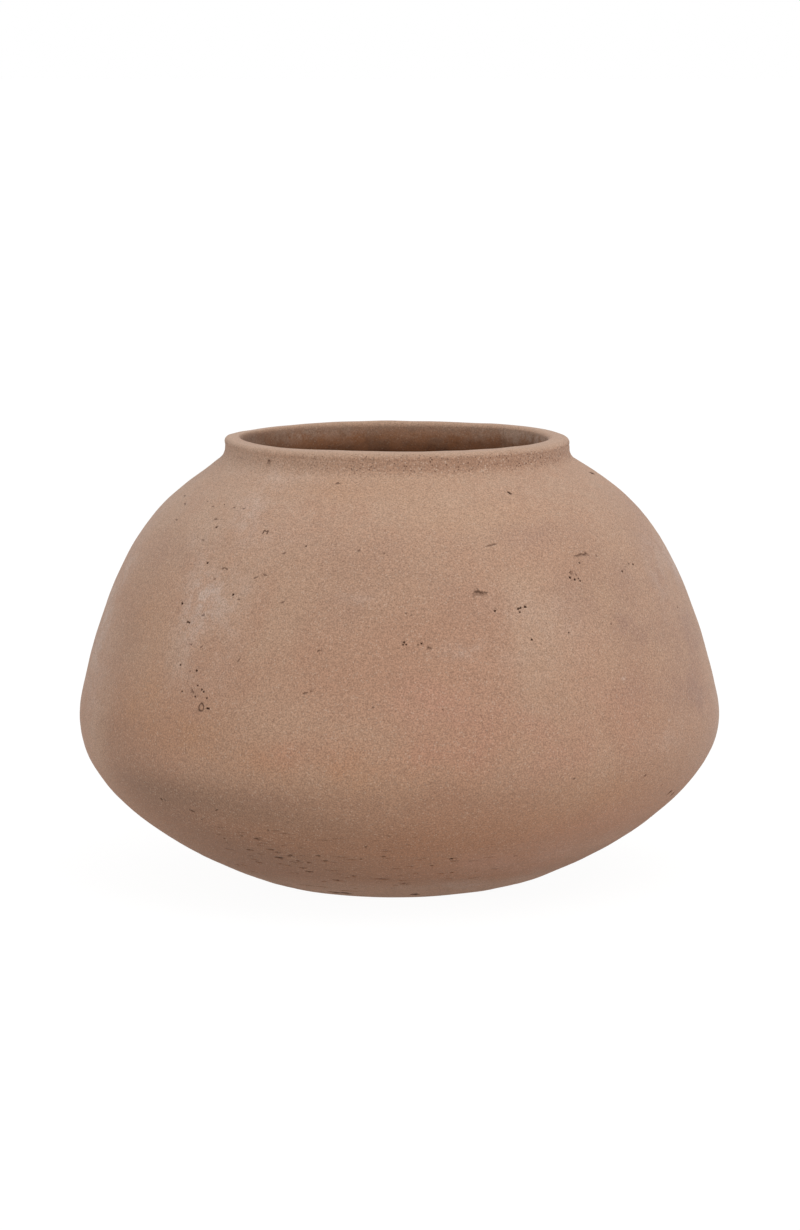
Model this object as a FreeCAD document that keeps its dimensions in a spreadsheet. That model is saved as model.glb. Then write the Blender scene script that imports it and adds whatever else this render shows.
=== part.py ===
"""Wide terracotta floor vase, built as the potter builds it.

The wall stands in courses, each set on the last when that has stiffened: a base slab, the lower and the
upper bowl, the flank above the widest level, the shoulder dome and a soft-lipped rim collar. Slip joins
them.
At each wall seam the upper course has a tongue that drops into a groove in the course below, and slip
fills the room round it. The slab is only scored, so its seam holds a flat band of slip.

Units are millimetres. The origin is on the floor, on the axis of the pot, and +Z is up.
"""
import FreeCAD
import Part
import Sketcher
import math
import os

from FreeCAD import Vector

# Driving sizes, angles in degrees. A fullness says how far a curve runs along its end tangent,
# counted in heights of that curve. A seam share says how far up its curve a seam lies, from 0 to 1.
SIZES = {
    "vase_height": "290.1",
    "belly_dia": "420",
    "belly_height": "109.3",
    "wall": "12",
    "base_dia": "159.6",
    "slab_thickness": "14",
    "foot_radius": "18.7",
    "foot_slope": "12",
    "foot_fullness": "0.219",
    "floor_flare": "7.5",
    "bowl_fullness": "0.706",
    "keel_radius": "57.5",
    "keel_turn": "30",
    "keel_lean": "12.2",
    "flank_fullness": "0.79",
    "shoulder_fullness": "0.232",
    "shoulder_slope": "55.6",
    "neck_dia": "225",
    "neck_radius": "9.3",
    "neck_side": "3.3",
    "lip_overhang": "0.5",
    "lip_round": "3",
    "lip_slope": "4.5",
    "collar_height": "16",
    "bowl_seam_share": "0.75",
    "flank_seam_share": "0.3",
    "groove_width": "5",
    "groove_depth": "3",
    "slip_gap": "0.8",
    "score_width": "12",
    "score_depth": "1.5",
}

COURSES = ("base_slab", "lower_bowl", "upper_bowl", "flank_wall", "shoulder_dome", "rim_collar")
WALL_SEAMS = ("bowl", "belly", "flank", "neck")
NODES = COURSES + ("base_slip_ring",) + tuple(f"{seam}_slip_ring" for seam in WALL_SEAMS)

# Share of the wall's volume that the pieces together may differ by, through rounding
VOLUME_TOLERANCE = 1e-5

doc = FreeCAD.newDocument("vase")


def make_sheet():
    """Fill the sheet of driving sizes, one row for each size."""
    sheet = doc.addObject("Spreadsheet::Sheet", "sizes")
    for row, (name, number) in enumerate(SIZES.items(), start=1):
        sheet.set(f"A{row}", name)
        sheet.set(f"B{row}", number)
        sheet.setAlias(f"B{row}", name)
    doc.recompute()
    return sheet


def bound(text):
    """Turn the size names of an expression into references to the sheet."""
    for name in sorted(SIZES, key=len, reverse=True):
        text = text.replace(f"<{name}>", f"sizes.{name}")
    return text


def number(text):
    """Work out the value that an expression has now."""
    return float(sizes.evalExpression(bound(text)))


sizes = make_sheet()

# Levels and radii that several pieces share
BASE_R = "<base_dia> / 2"
NECK_R = "<neck_dia> / 2"
MOUTH_R = "(<neck_dia> / 2 - <wall>)"
COLLAR_SEAM = "(<vase_height> - <collar_height>)"
KEEL_MIDDLE_R = "(<belly_dia> / 2 - <keel_radius>)"
NECK_MIDDLE_R = "(<neck_dia> / 2 + <neck_radius>)"

# The lip's top falls outwards between an inner and an outer round, and the outer one hangs over the neck.
LIP_INNER_R = f"({MOUTH_R} + <lip_round>)"
LIP_INNER_LEVEL = "(<vase_height> - <lip_round>)"
LIP_OUTER_R = f"({NECK_R} + <lip_overhang> - <lip_round>)"
LIP_OUTER_LEVEL = f"({LIP_INNER_LEVEL} - ({LIP_OUTER_R} - {LIP_INNER_R}) * tan(<lip_slope>))"
LIP_TURN = "90 - <lip_slope>"
CREASE_LEVEL = f"({LIP_OUTER_LEVEL} - sqrt(<lip_round>^2 - (<lip_round> - <lip_overhang>)^2))"
NECK_LEVEL = f"({CREASE_LEVEL} - <neck_side>)"


def polar(middle_r, middle_z, radius, angle, sign="+"):
    """Point of an arc at an angle above its middle's level, or with a minus, the point across the middle."""
    return (f"{middle_r} {sign} ({radius}) * cos({angle})", f"{middle_z} {sign} ({radius}) * sin({angle})")


def along(point, length, share_r, share_z):
    """Point at a length from another, with the given shares along the radius and the height."""
    return (f"{point[0]} + ({length}) * {share_r}", f"{point[1]} + ({length}) * {share_z}")


def wall_points():
    """Corner points and curve poles of the whole wall, outside from foot to lip, then inside back down."""
    foot_turn = (f"{BASE_R} + <foot_radius> * sin(<foot_slope>)",
                 "<foot_radius> * (1 - cos(<foot_slope>))")
    keel_low = polar(KEEL_MIDDLE_R, "<belly_height>", "<keel_radius>", "-<keel_turn>")
    keel_high = polar(KEEL_MIDDLE_R, "<belly_height>", "<keel_radius>", "<keel_lean>")
    collar_foot = polar(NECK_MIDDLE_R, NECK_LEVEL, "<neck_radius>", "<shoulder_slope>", "-")
    inner_radius = "<keel_radius> - <wall>"
    inner_keel_low = polar(KEEL_MIDDLE_R, "<belly_height>", inner_radius, "-<keel_turn>")
    inner_keel_high = polar(KEEL_MIDDLE_R, "<belly_height>", inner_radius, "<keel_lean>")
    throat = polar(NECK_MIDDLE_R, NECK_LEVEL, "<neck_radius> + <wall>", "<shoulder_slope>", "-")
    floor_edge = (f"{BASE_R} + <floor_flare>", "<slab_thickness>")
    bowl_rise = f"({keel_low[1]} - ({foot_turn[1]}))"
    dome_rise = f"({collar_foot[1]} - ({keel_high[1]}))"
    inner_bowl_rise = f"({inner_keel_low[1]} - ({floor_edge[1]}))"
    inner_dome_rise = f"({throat[1]} - ({inner_keel_high[1]}))"
    return {
        "foot_middle": ("0", "0"),
        "foot_edge": (BASE_R, "0"),
        "foot_turn": foot_turn,
        "foot_pole": along(foot_turn, f"<foot_fullness> * {bowl_rise}",
                           "cos(<foot_slope>)", "sin(<foot_slope>)"),
        "bowl_pole": along(keel_low, f"-<bowl_fullness> * {bowl_rise}",
                           "sin(<keel_turn>)", "cos(<keel_turn>)"),
        "keel_low": keel_low,
        "keel_high": keel_high,
        "flank_pole": along(keel_high, f"<flank_fullness> * {dome_rise}",
                            "-sin(<keel_lean>)", "cos(<keel_lean>)"),
        "shoulder_pole": along(collar_foot, f"<shoulder_fullness> * {dome_rise}",
                               "sin(<shoulder_slope>)", "-cos(<shoulder_slope>)"),
        "collar_foot": collar_foot,
        "neck_top": (NECK_R, NECK_LEVEL),
        "crease": (NECK_R, CREASE_LEVEL),
        "lip_shoulder": polar(LIP_OUTER_R, LIP_OUTER_LEVEL, "<lip_round>", LIP_TURN),
        "lip_crest": polar(LIP_INNER_R, LIP_INNER_LEVEL, "<lip_round>", LIP_TURN),
        "lip_inside": (MOUTH_R, LIP_INNER_LEVEL),
        "neck_inside": (MOUTH_R, NECK_LEVEL),
        "throat": throat,
        "inner_shoulder_pole": along(throat, f"<shoulder_fullness> * {inner_dome_rise}",
                                     "sin(<shoulder_slope>)", "-cos(<shoulder_slope>)"),
        "inner_flank_pole": along(inner_keel_high, f"<flank_fullness> * {inner_dome_rise}",
                                  "-sin(<keel_lean>)", "cos(<keel_lean>)"),
        "inner_keel_high": inner_keel_high,
        "inner_keel_low": inner_keel_low,
        "inner_bowl_pole": along(inner_keel_low, f"-<bowl_fullness> * {inner_bowl_rise}",
                                 "sin(<keel_turn>)", "cos(<keel_turn>)"),
        "inner_foot_pole": along(floor_edge, f"<foot_fullness> * {inner_bowl_rise}",
                                 "cos(<foot_slope>)", "sin(<foot_slope>)"),
        "floor_edge": floor_edge,
        "floor_middle": ("0", "<slab_thickness>"),
    }


class Outline:
    """Sketch whose corners, poles and arc radii are bound to the sheet."""

    START, END, MIDDLE = range(1, 4)

    def __init__(self, sketch, points):
        self.sketch = sketch
        self.points = points
        self.corners = {}

    def spot(self, name):
        """Current place of a named point."""
        across, up = self.points[name]
        return Vector(number(across), number(up), 0)

    def bind(self, kind, geometry, end, expression, name):
        """Add one named distance from the sketch's own axes and tie it to the sheet."""
        rule = Sketcher.Constraint(kind, -1, self.START, geometry, end, number(expression))
        index = self.sketch.addConstraint(rule)
        self.sketch.renameConstraint(index, name)
        self.sketch.setExpression(f"Constraints.{name}", bound(expression))

    def hold(self, name, geometry, end):
        """Fix the end of a piece of outline, or join it to the piece that holds that corner already."""
        if name in self.corners:
            self.sketch.addConstraint(Sketcher.Constraint("Coincident", geometry, end, *self.corners[name]))
            return
        self.corners[name] = (geometry, end)
        across, up = self.points[name]
        self.bind("DistanceX", geometry, end, across, f"{name}_across")
        self.bind("DistanceY", geometry, end, up, f"{name}_up")

    def line(self, first, last):
        """Straight stretch between two corners."""
        geometry = self.sketch.addGeometry(Part.LineSegment(self.spot(first), self.spot(last)))
        self.hold(first, geometry, self.START)
        self.hold(last, geometry, self.END)

    def arc(self, first, last, middle, radius):
        """Round stretch that turns anticlockwise from the first corner to the last one."""
        centre = Vector(number(middle[0]), number(middle[1]), 0)
        circle = Part.Circle(centre, Vector(0, 0, 1), number(radius))
        turns = []
        for name in (first, last):
            ray = self.spot(name) - centre
            turns.append(math.atan2(ray.y, ray.x))
        if turns[1] < turns[0]:
            turns[1] += 2 * math.pi
        geometry = self.sketch.addGeometry(Part.ArcOfCircle(circle, *turns))
        self.hold(first, geometry, self.START)
        self.hold(last, geometry, self.END)
        index = self.sketch.addConstraint(Sketcher.Constraint("Radius", geometry, number(radius)))
        self.sketch.setExpression(f"Constraints[{index}]", bound(radius))

    def curve(self, *names):
        """Smooth stretch with a pole at each of four points, the outer two on the outline."""
        curve = Part.BSplineCurve()
        curve.buildFromPolesMultsKnots([self.spot(name) for name in names], [4, 4], [0, 1], False, 3)
        geometry = self.sketch.addGeometry(curve)
        self.sketch.exposeInternalGeometry(geometry)
        for step, name in enumerate(names, start=1):
            self.hold(name, geometry + step, self.MIDDLE)


def make_wall():
    """Whole clay wall with its floor, turned round the axis, before it is cut into sections."""
    body = doc.addObject("PartDesign::Body", "vessel_wall")
    sketch = body.newObject("Sketcher::SketchObject", "wall_outline")
    plane = next(feature for feature in body.Origin.OriginFeatures if feature.Role == "XZ_Plane")
    sketch.AttachmentSupport = [(plane, "")]
    sketch.MapMode = "FlatFace"
    doc.recompute()

    keel = (KEEL_MIDDLE_R, "<belly_height>")
    neck = (NECK_MIDDLE_R, NECK_LEVEL)
    outline = Outline(sketch, wall_points())
    outline.line("foot_middle", "foot_edge")
    outline.arc("foot_edge", "foot_turn", (BASE_R, "<foot_radius>"), "<foot_radius>")
    outline.curve("foot_turn", "foot_pole", "bowl_pole", "keel_low")
    outline.arc("keel_low", "keel_high", keel, "<keel_radius>")
    outline.curve("keel_high", "flank_pole", "shoulder_pole", "collar_foot")
    outline.arc("neck_top", "collar_foot", neck, "<neck_radius>")
    outline.line("neck_top", "crease")
    outline.arc("crease", "lip_shoulder", (LIP_OUTER_R, LIP_OUTER_LEVEL), "<lip_round>")
    outline.line("lip_shoulder", "lip_crest")
    outline.arc("lip_crest", "lip_inside", (LIP_INNER_R, LIP_INNER_LEVEL), "<lip_round>")
    outline.line("lip_inside", "neck_inside")
    outline.arc("neck_inside", "throat", neck, "<neck_radius> + <wall>")
    outline.curve("throat", "inner_shoulder_pole", "inner_flank_pole", "inner_keel_high")
    outline.arc("inner_keel_low", "inner_keel_high", keel, "<keel_radius> - <wall>")
    outline.curve("inner_keel_low", "inner_bowl_pole", "inner_foot_pole", "floor_edge")
    outline.line("floor_edge", "floor_middle")
    outline.line("floor_middle", "foot_middle")
    doc.recompute()

    turned = body.newObject("PartDesign::Revolution", "turned_wall")
    turned.Profile = sketch
    turned.ReferenceAxis = (sketch, ["V_Axis"])
    turned.Angle = 360
    doc.recompute()
    return body


def make_drum(name, radius, bottom, height):
    """Plain drum on the axis, with its sizes bound to the sheet."""
    drum = doc.addObject("Part::Cylinder", name)
    drum.setExpression("Radius", bound(radius))
    drum.setExpression("Height", bound(height))
    drum.setExpression(".Placement.Base.z", bound(bottom))
    return drum


def combine(kind, name, base, tool):
    """One boolean of two objects, labelled with its name."""
    result = doc.addObject(kind, name)
    result.Base = base
    result.Tool = tool
    result.Label = name
    return result


def make_ring(name, middle_r, width, top, depth):
    """Square-edged ring that hangs by its depth below a level."""
    bottom = f"{top} - {depth}"
    outer = make_drum(f"{name}_outside", f"{middle_r} + {width} / 2", bottom, depth)
    inner = make_drum(f"{name}_inside", f"{middle_r} - {width} / 2", bottom, depth)
    return combine("Part::Cut", name, outer, inner)


def on_curve(poles, share, direction):
    """Distance along one direction, at a share of the way up a curve of the outline."""
    spots = [f"wall_outline.Constraints.{pole}_{direction} / 1 mm" for pole in poles]
    rest = f"(1 - {share})"
    return (f"({rest}^3 * {spots[0]} + 3 * {rest}^2 * {share} * {spots[1]}"
            f" + 3 * {rest} * {share}^2 * {spots[2]} + {share}^3 * {spots[3]})")


def mid_wall(outer, inner, share):
    """Radius and level in the middle of the wall, between its outer and its inner curve."""
    return tuple(f"(({on_curve(outer, share, way)} + {on_curve(inner, share, way)}) / 2)"
                 for way in ("across", "up"))


def seam_places():
    """Radius and level of the middle of each wall seam, from the lowest to the highest."""
    bowl = mid_wall(("foot_turn", "foot_pole", "bowl_pole", "keel_low"),
                    ("floor_edge", "inner_foot_pole", "inner_bowl_pole", "inner_keel_low"),
                    "<bowl_seam_share>")
    belly = ("(<belly_dia> / 2 - <wall> / 2)", "<belly_height>")
    flank = mid_wall(("keel_high", "flank_pole", "shoulder_pole", "collar_foot"),
                     ("inner_keel_high", "inner_flank_pole", "inner_shoulder_pole", "throat"),
                     "<flank_seam_share>")
    # The neck seam lies on the middle of the wall, where the collar flares out to the shoulder.
    neck_bend = "(<neck_radius> + <wall> / 2)"
    neck_r = f"({NECK_MIDDLE_R} - sqrt({neck_bend}^2 - ({NECK_LEVEL} - {COLLAR_SEAM})^2))"
    return bowl, belly, flank, (neck_r, COLLAR_SEAM)


def make_course(name, wall, bottom, top, seam_below, seam_above):
    """Part of the wall between two levels, with a tongue below and a groove above where it has them."""
    drum = make_drum(f"{name}_levels", "<belly_dia>", bottom, f"{top} - {bottom}")
    shapes = [combine("Part::Common", f"{name}_blank", wall, drum)]
    if seam_below:
        shapes.append(combine("Part::Fuse", f"{name}_tongued", shapes[-1],
                              doc.getObject(f"{seam_below}_tongue")))
    if seam_above:
        shapes.append(combine("Part::Cut", f"{name}_grooved", shapes[-1],
                              doc.getObject(f"{seam_above}_groove")))
    shapes[-1].Label = name


def make_wall_seam(name, middle_r, level):
    """Groove and tongue of one seam, and the slip round the tongue."""
    groove = make_ring(f"{name}_groove", middle_r, "<groove_width>", level, "<groove_depth>")
    tongue = make_ring(f"{name}_tongue", middle_r, "(<groove_width> - 2 * <slip_gap>)", level,
                       "(<groove_depth> - <slip_gap>)")
    combine("Part::Cut", f"{name}_slip_ring", groove, tongue)


def make_base_seam():
    """Scored band in the slab's top, under the foot of the bowl, which slip fills."""
    middle_r = f"({BASE_R} + <floor_flare> + <wall> / 2 + <score_width> / 2)"
    band = make_ring("base_groove", middle_r, "<score_width>", "<slab_thickness>", "<score_depth>")
    band.Label = "base_slip_ring"


def make_vase():
    """Cut the wall into its courses at the seams and join them."""
    wall = make_wall()
    places = seam_places()
    make_base_seam()
    for name, (middle_r, level) in zip(WALL_SEAMS, places):
        make_wall_seam(name, middle_r, level)
    levels = ["0", "<slab_thickness>"] + [level for _, level in places] + ["<vase_height>"]
    below = (None, None) + WALL_SEAMS
    above = ("base",) + WALL_SEAMS + (None,)
    for step, name in enumerate(COURSES):
        make_course(name, wall, levels[step], levels[step + 1], below[step], above[step])
    doc.recompute()
    return wall


def piece(node):
    """Finished piece that carries a node's label."""
    return doc.getObjectsByLabel(node)[0]


def check(wall):
    """Stop if any object failed, a piece is not one valid solid, or clay is missing or doubled."""
    for item in doc.Objects:
        if {"Invalid", "Error"} & set(item.State):
            raise RuntimeError(f"{item.Name} failed: {item.State}")
    if not doc.getObject("wall_outline").FullyConstrained:
        raise RuntimeError("the wall outline is not fully constrained")
    total = 0.0
    for node in NODES:
        shape = piece(node).Shape
        if shape.isNull() or not shape.isValid() or len(shape.Solids) != 1:
            raise RuntimeError(f"{node} is not one valid solid")
        total += shape.Volume
    if abs(total / wall.Shape.Volume - 1) > VOLUME_TOLERANCE:
        raise RuntimeError("the sections and the slip do not fill the wall")


def write():
    """Write each piece to its own file."""
    os.makedirs("parts", exist_ok=True)
    for node in NODES:
        shape = piece(node).Shape
        shape.exportStep(f"parts/{node}.step")
        print(f"{node}: {shape.Volume / 1000:.1f} cm3")


vessel = make_vase()
check(vessel)
write()
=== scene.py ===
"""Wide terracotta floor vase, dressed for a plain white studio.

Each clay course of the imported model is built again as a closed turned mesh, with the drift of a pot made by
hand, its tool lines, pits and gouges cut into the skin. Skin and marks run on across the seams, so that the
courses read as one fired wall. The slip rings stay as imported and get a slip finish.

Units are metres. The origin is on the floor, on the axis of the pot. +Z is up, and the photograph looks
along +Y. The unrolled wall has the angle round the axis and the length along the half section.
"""
import logging
import math
from dataclasses import dataclass, field
from enum import Enum

import bmesh
import bpy
import numpy as np
from mathutils import Euler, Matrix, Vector


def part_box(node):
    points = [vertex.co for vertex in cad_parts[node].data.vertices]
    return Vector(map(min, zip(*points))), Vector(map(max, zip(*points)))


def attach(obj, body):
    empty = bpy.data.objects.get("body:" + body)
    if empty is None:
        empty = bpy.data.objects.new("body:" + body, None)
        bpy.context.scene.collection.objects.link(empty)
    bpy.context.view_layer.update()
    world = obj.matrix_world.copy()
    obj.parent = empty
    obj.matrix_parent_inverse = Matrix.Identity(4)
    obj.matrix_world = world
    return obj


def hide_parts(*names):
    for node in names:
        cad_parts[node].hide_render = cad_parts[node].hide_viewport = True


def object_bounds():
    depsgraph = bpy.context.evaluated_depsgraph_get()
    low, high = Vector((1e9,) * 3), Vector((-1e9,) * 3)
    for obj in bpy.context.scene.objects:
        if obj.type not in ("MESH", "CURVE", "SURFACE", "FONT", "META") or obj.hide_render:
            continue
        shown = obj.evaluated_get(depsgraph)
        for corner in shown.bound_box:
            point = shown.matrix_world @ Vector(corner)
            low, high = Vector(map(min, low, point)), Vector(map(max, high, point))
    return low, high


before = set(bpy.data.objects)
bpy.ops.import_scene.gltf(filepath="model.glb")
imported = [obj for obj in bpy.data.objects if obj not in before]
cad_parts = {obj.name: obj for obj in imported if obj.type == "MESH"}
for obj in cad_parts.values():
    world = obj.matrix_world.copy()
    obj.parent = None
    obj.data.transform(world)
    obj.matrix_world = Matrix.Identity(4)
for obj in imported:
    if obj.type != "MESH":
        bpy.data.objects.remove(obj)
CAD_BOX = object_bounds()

LOG = logging.getLogger("vase")
MM = 0.001
TURN = 2 * math.pi
BODY = "root"
WHITE = (1.0, 1.0, 1.0, 1.0)

Array = np.ndarray
Pair = tuple[float, float]
Colour = tuple[float, float, float, float]
Layers = dict[str, Array]
Socket = bpy.types.NodeSocket


def smooth_step(low: float, high: float, value: Array) -> Array:
    """Ease from 0 at low to 1 at high.

    Args:
        low: Value at which the step starts.
        high: Value at which it ends, which may lie below low.
        value: Values to ease.

    Returns:
        The eased values, from 0 to 1.
    """
    share = np.clip((value - low) / (high - low), 0.0, 1.0)
    return share * share * (3.0 - 2.0 * share)


def turn_from(bearing: float, theta: Array) -> Array:
    """Shortest turn from a bearing to each angle, in radians."""
    return (theta - bearing + math.pi) % TURN - math.pi


def linear(red: int, green: int, blue: int) -> Colour:
    """Turn a colour of 0 to 255 as seen on a screen into shader values.

    Args:
        red: Red of the colour.
        green: Green of the colour.
        blue: Blue of the colour.

    Returns:
        Linear red, green and blue, and an alpha of 1.
    """
    shares = [value / 255.0 for value in (red, green, blue)]
    made = [share / 12.92 if share <= 0.04045 else ((share + 0.055) / 1.055) ** 2.4 for share in shares]
    return (*made, 1.0)


def put(name: str, data: bpy.types.ID) -> bpy.types.Object:
    """Make an object and add it to the scene.

    Args:
        name: Name of the object.
        data: Its mesh, lamp or camera.

    Returns:
        The object.
    """
    made = bpy.data.objects.new(name, data)
    bpy.context.scene.collection.objects.link(made)
    return made


class MarkKind(Enum):
    """Ways in which the skin of the pot is marked."""

    GOUGE = "gouge"
    PIT = "pit"
    FLAW = "flaw"
    DASH = "dash"
    SCORE = "score"
    RING = "ring"
    ARCH = "arch"
    CHIP = "chip"


class Tint(Enum):
    """Colours that drift over the clay in soft clouds, by the name of their vertex layer. Some smoke and
    mauve clouds are painted shade, and some haze inside the mouth is painted light.
    """

    OCHRE = "ochre"
    PINK = "pink"
    MAUVE = "mauve"
    BLOOM = "bloom"
    SMOKE = "smoke"
    UMBER = "umber"
    HAZE = "haze"


# Tints that lie evenly, where the others are patchy
SMOOTH_TINTS = (Tint.SMOKE, Tint.UMBER)


@dataclass(frozen=True)
class PhotoView:
    """Where the photograph was taken from, and how its pixels lie. The elevation is in degrees."""

    width: int = 800
    height: int = 1230
    focal: float = 4500.0
    distance: float = 2.965
    elevation: float = 8.99
    aim_level: float = 0.1093
    aim_pixel: Pair = (398.0, 709.95)
    sensor: float = 36.0

    @property
    def place(self) -> Vector:
        """Point that the camera stands at."""
        tilt = math.radians(self.elevation)
        return Vector((0.0, -self.distance * math.cos(tilt), self.aim_level + self.distance * math.sin(tilt)))

    @property
    def turn(self) -> Euler:
        """Rotation of the camera, with the aimed point at its own pixel and no shift.

        Returns:
            The rotation.
        """
        rise = math.atan((self.aim_pixel[1] - self.height / 2) / self.focal)
        swing = math.atan((self.aim_pixel[0] - self.width / 2) / self.focal)
        return Euler((math.pi / 2 - math.radians(self.elevation) + rise, 0.0, swing))

    def ray(self, across: float, down: float) -> Vector:
        """Direction in which a pixel, counted from the left and from the top, looks."""
        local = Vector((across - self.width / 2, self.height / 2 - down, -self.focal))
        return (self.turn.to_matrix() @ local).normalized()


@dataclass(frozen=True)
class WallSizes:
    """Sizes of the half section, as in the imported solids. Angles are in degrees."""

    height: float = CAD_BOX[1].z
    belly_radius: float = CAD_BOX[1].x
    belly_height: float = 109.3 * MM
    wall: float = 12.0 * MM
    base_radius: float = 79.8 * MM
    slab: float = 14.0 * MM
    foot_radius: float = 18.7 * MM
    foot_slope: float = 12.0
    foot_fullness: float = 0.219
    floor_flare: float = 7.5 * MM
    bowl_fullness: float = 0.706
    keel_radius: float = 57.5 * MM
    keel_turn: float = 30.0
    keel_lean: float = 12.2
    flank_fullness: float = 0.79
    shoulder_fullness: float = 0.232
    shoulder_slope: float = 55.6
    neck_radius: float = 112.5 * MM
    neck_bend: float = 9.3 * MM
    neck_side: float = 3.3 * MM
    lip_overhang: float = 0.5 * MM
    lip_round: float = 3.0 * MM
    lip_slope: float = 4.5
    groove_width: float = 5.0 * MM
    slip_gap: float = 0.8 * MM


class Section:
    """Bare skin of the wall as one line, from the middle of the underside, over the lip, to the floor."""

    FINE = 400

    def __init__(self, sizes: WallSizes) -> None:
        """Lay the line out from its arcs and curves.

        Args:
            sizes: Sizes of the half section.
        """
        self.sizes = sizes
        names, runs = zip(*self._runs())
        self.points = np.concatenate([runs[0][:1]] + [run[1:] for run in runs])
        steps = np.hypot(*np.diff(self.points, axis=0).T)
        self.length = np.concatenate(([0.0], np.cumsum(steps)))
        ends = np.cumsum([len(run) - 1 for run in runs])
        self.station = {name: float(self.length[end]) for name, end in zip(names, ends)}
        tangent = np.gradient(self.points, self.length, axis=0)
        tangent /= np.hypot(*tangent.T)[:, None]
        self.normals = np.stack((tangent[:, 1], -tangent[:, 0]), axis=1)

    @staticmethod
    def _arc(middle: Pair, radius: float, start: float, end: float) -> Array:
        """Points of an arc between two angles in degrees."""
        turn = np.radians(np.linspace(start, end, Section.FINE))
        return np.array(middle) + radius * np.stack((np.cos(turn), np.sin(turn)), axis=1)

    @staticmethod
    def _line(first: Array, last: Array) -> Array:
        """Points of a straight run."""
        return np.linspace(first, last, Section.FINE)

    @staticmethod
    def _way(fullness: float, angle: float) -> Array:
        """Reach of a curve's pole, in shares of the curve's rise, at an angle in degrees."""
        return fullness * np.array((math.cos(math.radians(angle)), math.sin(math.radians(angle))))

    @staticmethod
    def _curve(first: Array, last: Array, leave: Array, arrive: Array) -> Array:
        """Points of a curve with four poles.

        Args:
            first: Start of the curve.
            last: End of the curve.
            leave: Reach of the second pole from the start.
            arrive: Reach of the end from the third pole.

        Returns:
            The points.
        """
        rise = last[1] - first[1]
        share = np.linspace(0.0, 1.0, 3 * Section.FINE)[:, None]
        rest = 1.0 - share
        return (rest ** 3 * first + 3 * rest ** 2 * share * (first + rise * leave)
                + 3 * rest * share ** 2 * (last - rise * arrive) + share ** 3 * last)

    def _runs(self) -> list[tuple[str, Array]]:
        """Arcs, curves and straight runs of the line.

        Returns:
            Each run's points, with the name of the station at its end.
        """
        size = self.sizes
        lip_in = (size.neck_radius - size.wall + size.lip_round, size.height - size.lip_round)
        lip_out_radius = size.neck_radius + size.lip_overhang - size.lip_round
        lip_fall = (lip_out_radius - lip_in[0]) * math.tan(math.radians(size.lip_slope))
        lip_out = (lip_out_radius, lip_in[1] - lip_fall)
        crease_reach = size.lip_round - size.lip_overhang
        crease_drop = math.sqrt(size.lip_round ** 2 - crease_reach ** 2)
        crease_turn = -math.degrees(math.atan2(crease_drop, crease_reach))
        keel = (size.belly_radius - size.keel_radius, size.belly_height)
        neck = (size.neck_radius + size.neck_bend, lip_out[1] - crease_drop - size.neck_side)
        bowl = (self._way(size.foot_fullness, size.foot_slope),
                self._way(size.bowl_fullness, 90.0 - size.keel_turn))
        dome = (self._way(size.flank_fullness, 90.0 + size.keel_lean),
                self._way(size.shoulder_fullness, 90.0 + size.shoulder_slope))
        foot_edge = np.array((size.base_radius, 0.0))
        foot_middle = (size.base_radius, size.foot_radius)
        foot = self._arc(foot_middle, size.foot_radius, -90.0, size.foot_slope - 90.0)
        outer_keel = self._arc(keel, size.keel_radius, -size.keel_turn, size.keel_lean)
        inner_keel = self._arc(keel, size.keel_radius - size.wall, size.keel_lean, -size.keel_turn)
        outer_neck = self._arc(neck, size.neck_bend, 180.0 + size.shoulder_slope, 180.0)
        inner_neck = self._arc(neck, size.neck_bend + size.wall, 180.0, 180.0 + size.shoulder_slope)
        lip_turn = 90.0 - size.lip_slope
        outer_lip = self._arc(lip_out, size.lip_round, crease_turn, lip_turn)
        inner_lip = self._arc(lip_in, size.lip_round, lip_turn, 180.0)
        floor_edge = np.array((size.base_radius + size.floor_flare, size.slab))
        return [
            ("foot_edge", self._line(np.zeros(2), foot_edge)),
            ("foot_turn", foot),
            ("keel_low", self._curve(foot[-1], outer_keel[0], *bowl)),
            ("keel_high", outer_keel),
            ("collar_foot", self._curve(outer_keel[-1], outer_neck[0], *dome)),
            ("neck_top", outer_neck),
            ("crease", self._line(outer_neck[-1], outer_lip[0])),
            ("lip_shoulder", outer_lip),
            ("lip_crest", self._line(outer_lip[-1], inner_lip[0])),
            ("lip_inside", inner_lip),
            ("neck_inside", self._line(inner_lip[-1], inner_neck[0])),
            ("throat", inner_neck),
            ("inner_keel_high", self._curve(inner_keel[0], inner_neck[-1], *dome)[::-1]),
            ("inner_keel_low", inner_keel),
            ("floor_edge", self._curve(floor_edge, inner_keel[-1], *bowl)[::-1]),
            ("floor_middle", self._line(floor_edge, np.array((0.0, size.slab)))),
        ]

    def place(self, s: Array) -> tuple[Array, Array]:
        """Radius and level at a length along the line."""
        return np.interp(s, self.length, self.points[:, 0]), np.interp(s, self.length, self.points[:, 1])

    def normal(self, s: Array) -> tuple[Array, Array]:
        """Shares of the skin's outward direction along the radius and the height."""
        return np.interp(s, self.length, self.normals[:, 0]), np.interp(s, self.length, self.normals[:, 1])

    def outside(self, level: Array) -> Array:
        """Length along the line at which the outer skin reaches a level."""
        part = (self.length >= self.station["foot_edge"]) & (self.length <= self.station["lip_crest"])
        return np.interp(level, self.points[part, 1], self.length[part])

    def inside(self, level: float) -> float:
        """Length along the line at which the inner skin comes down to a level."""
        part = (self.length >= self.station["lip_inside"]) & (self.length <= self.station["floor_edge"])
        return float(np.interp(-level, -self.points[part, 1], self.length[part]))


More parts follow.
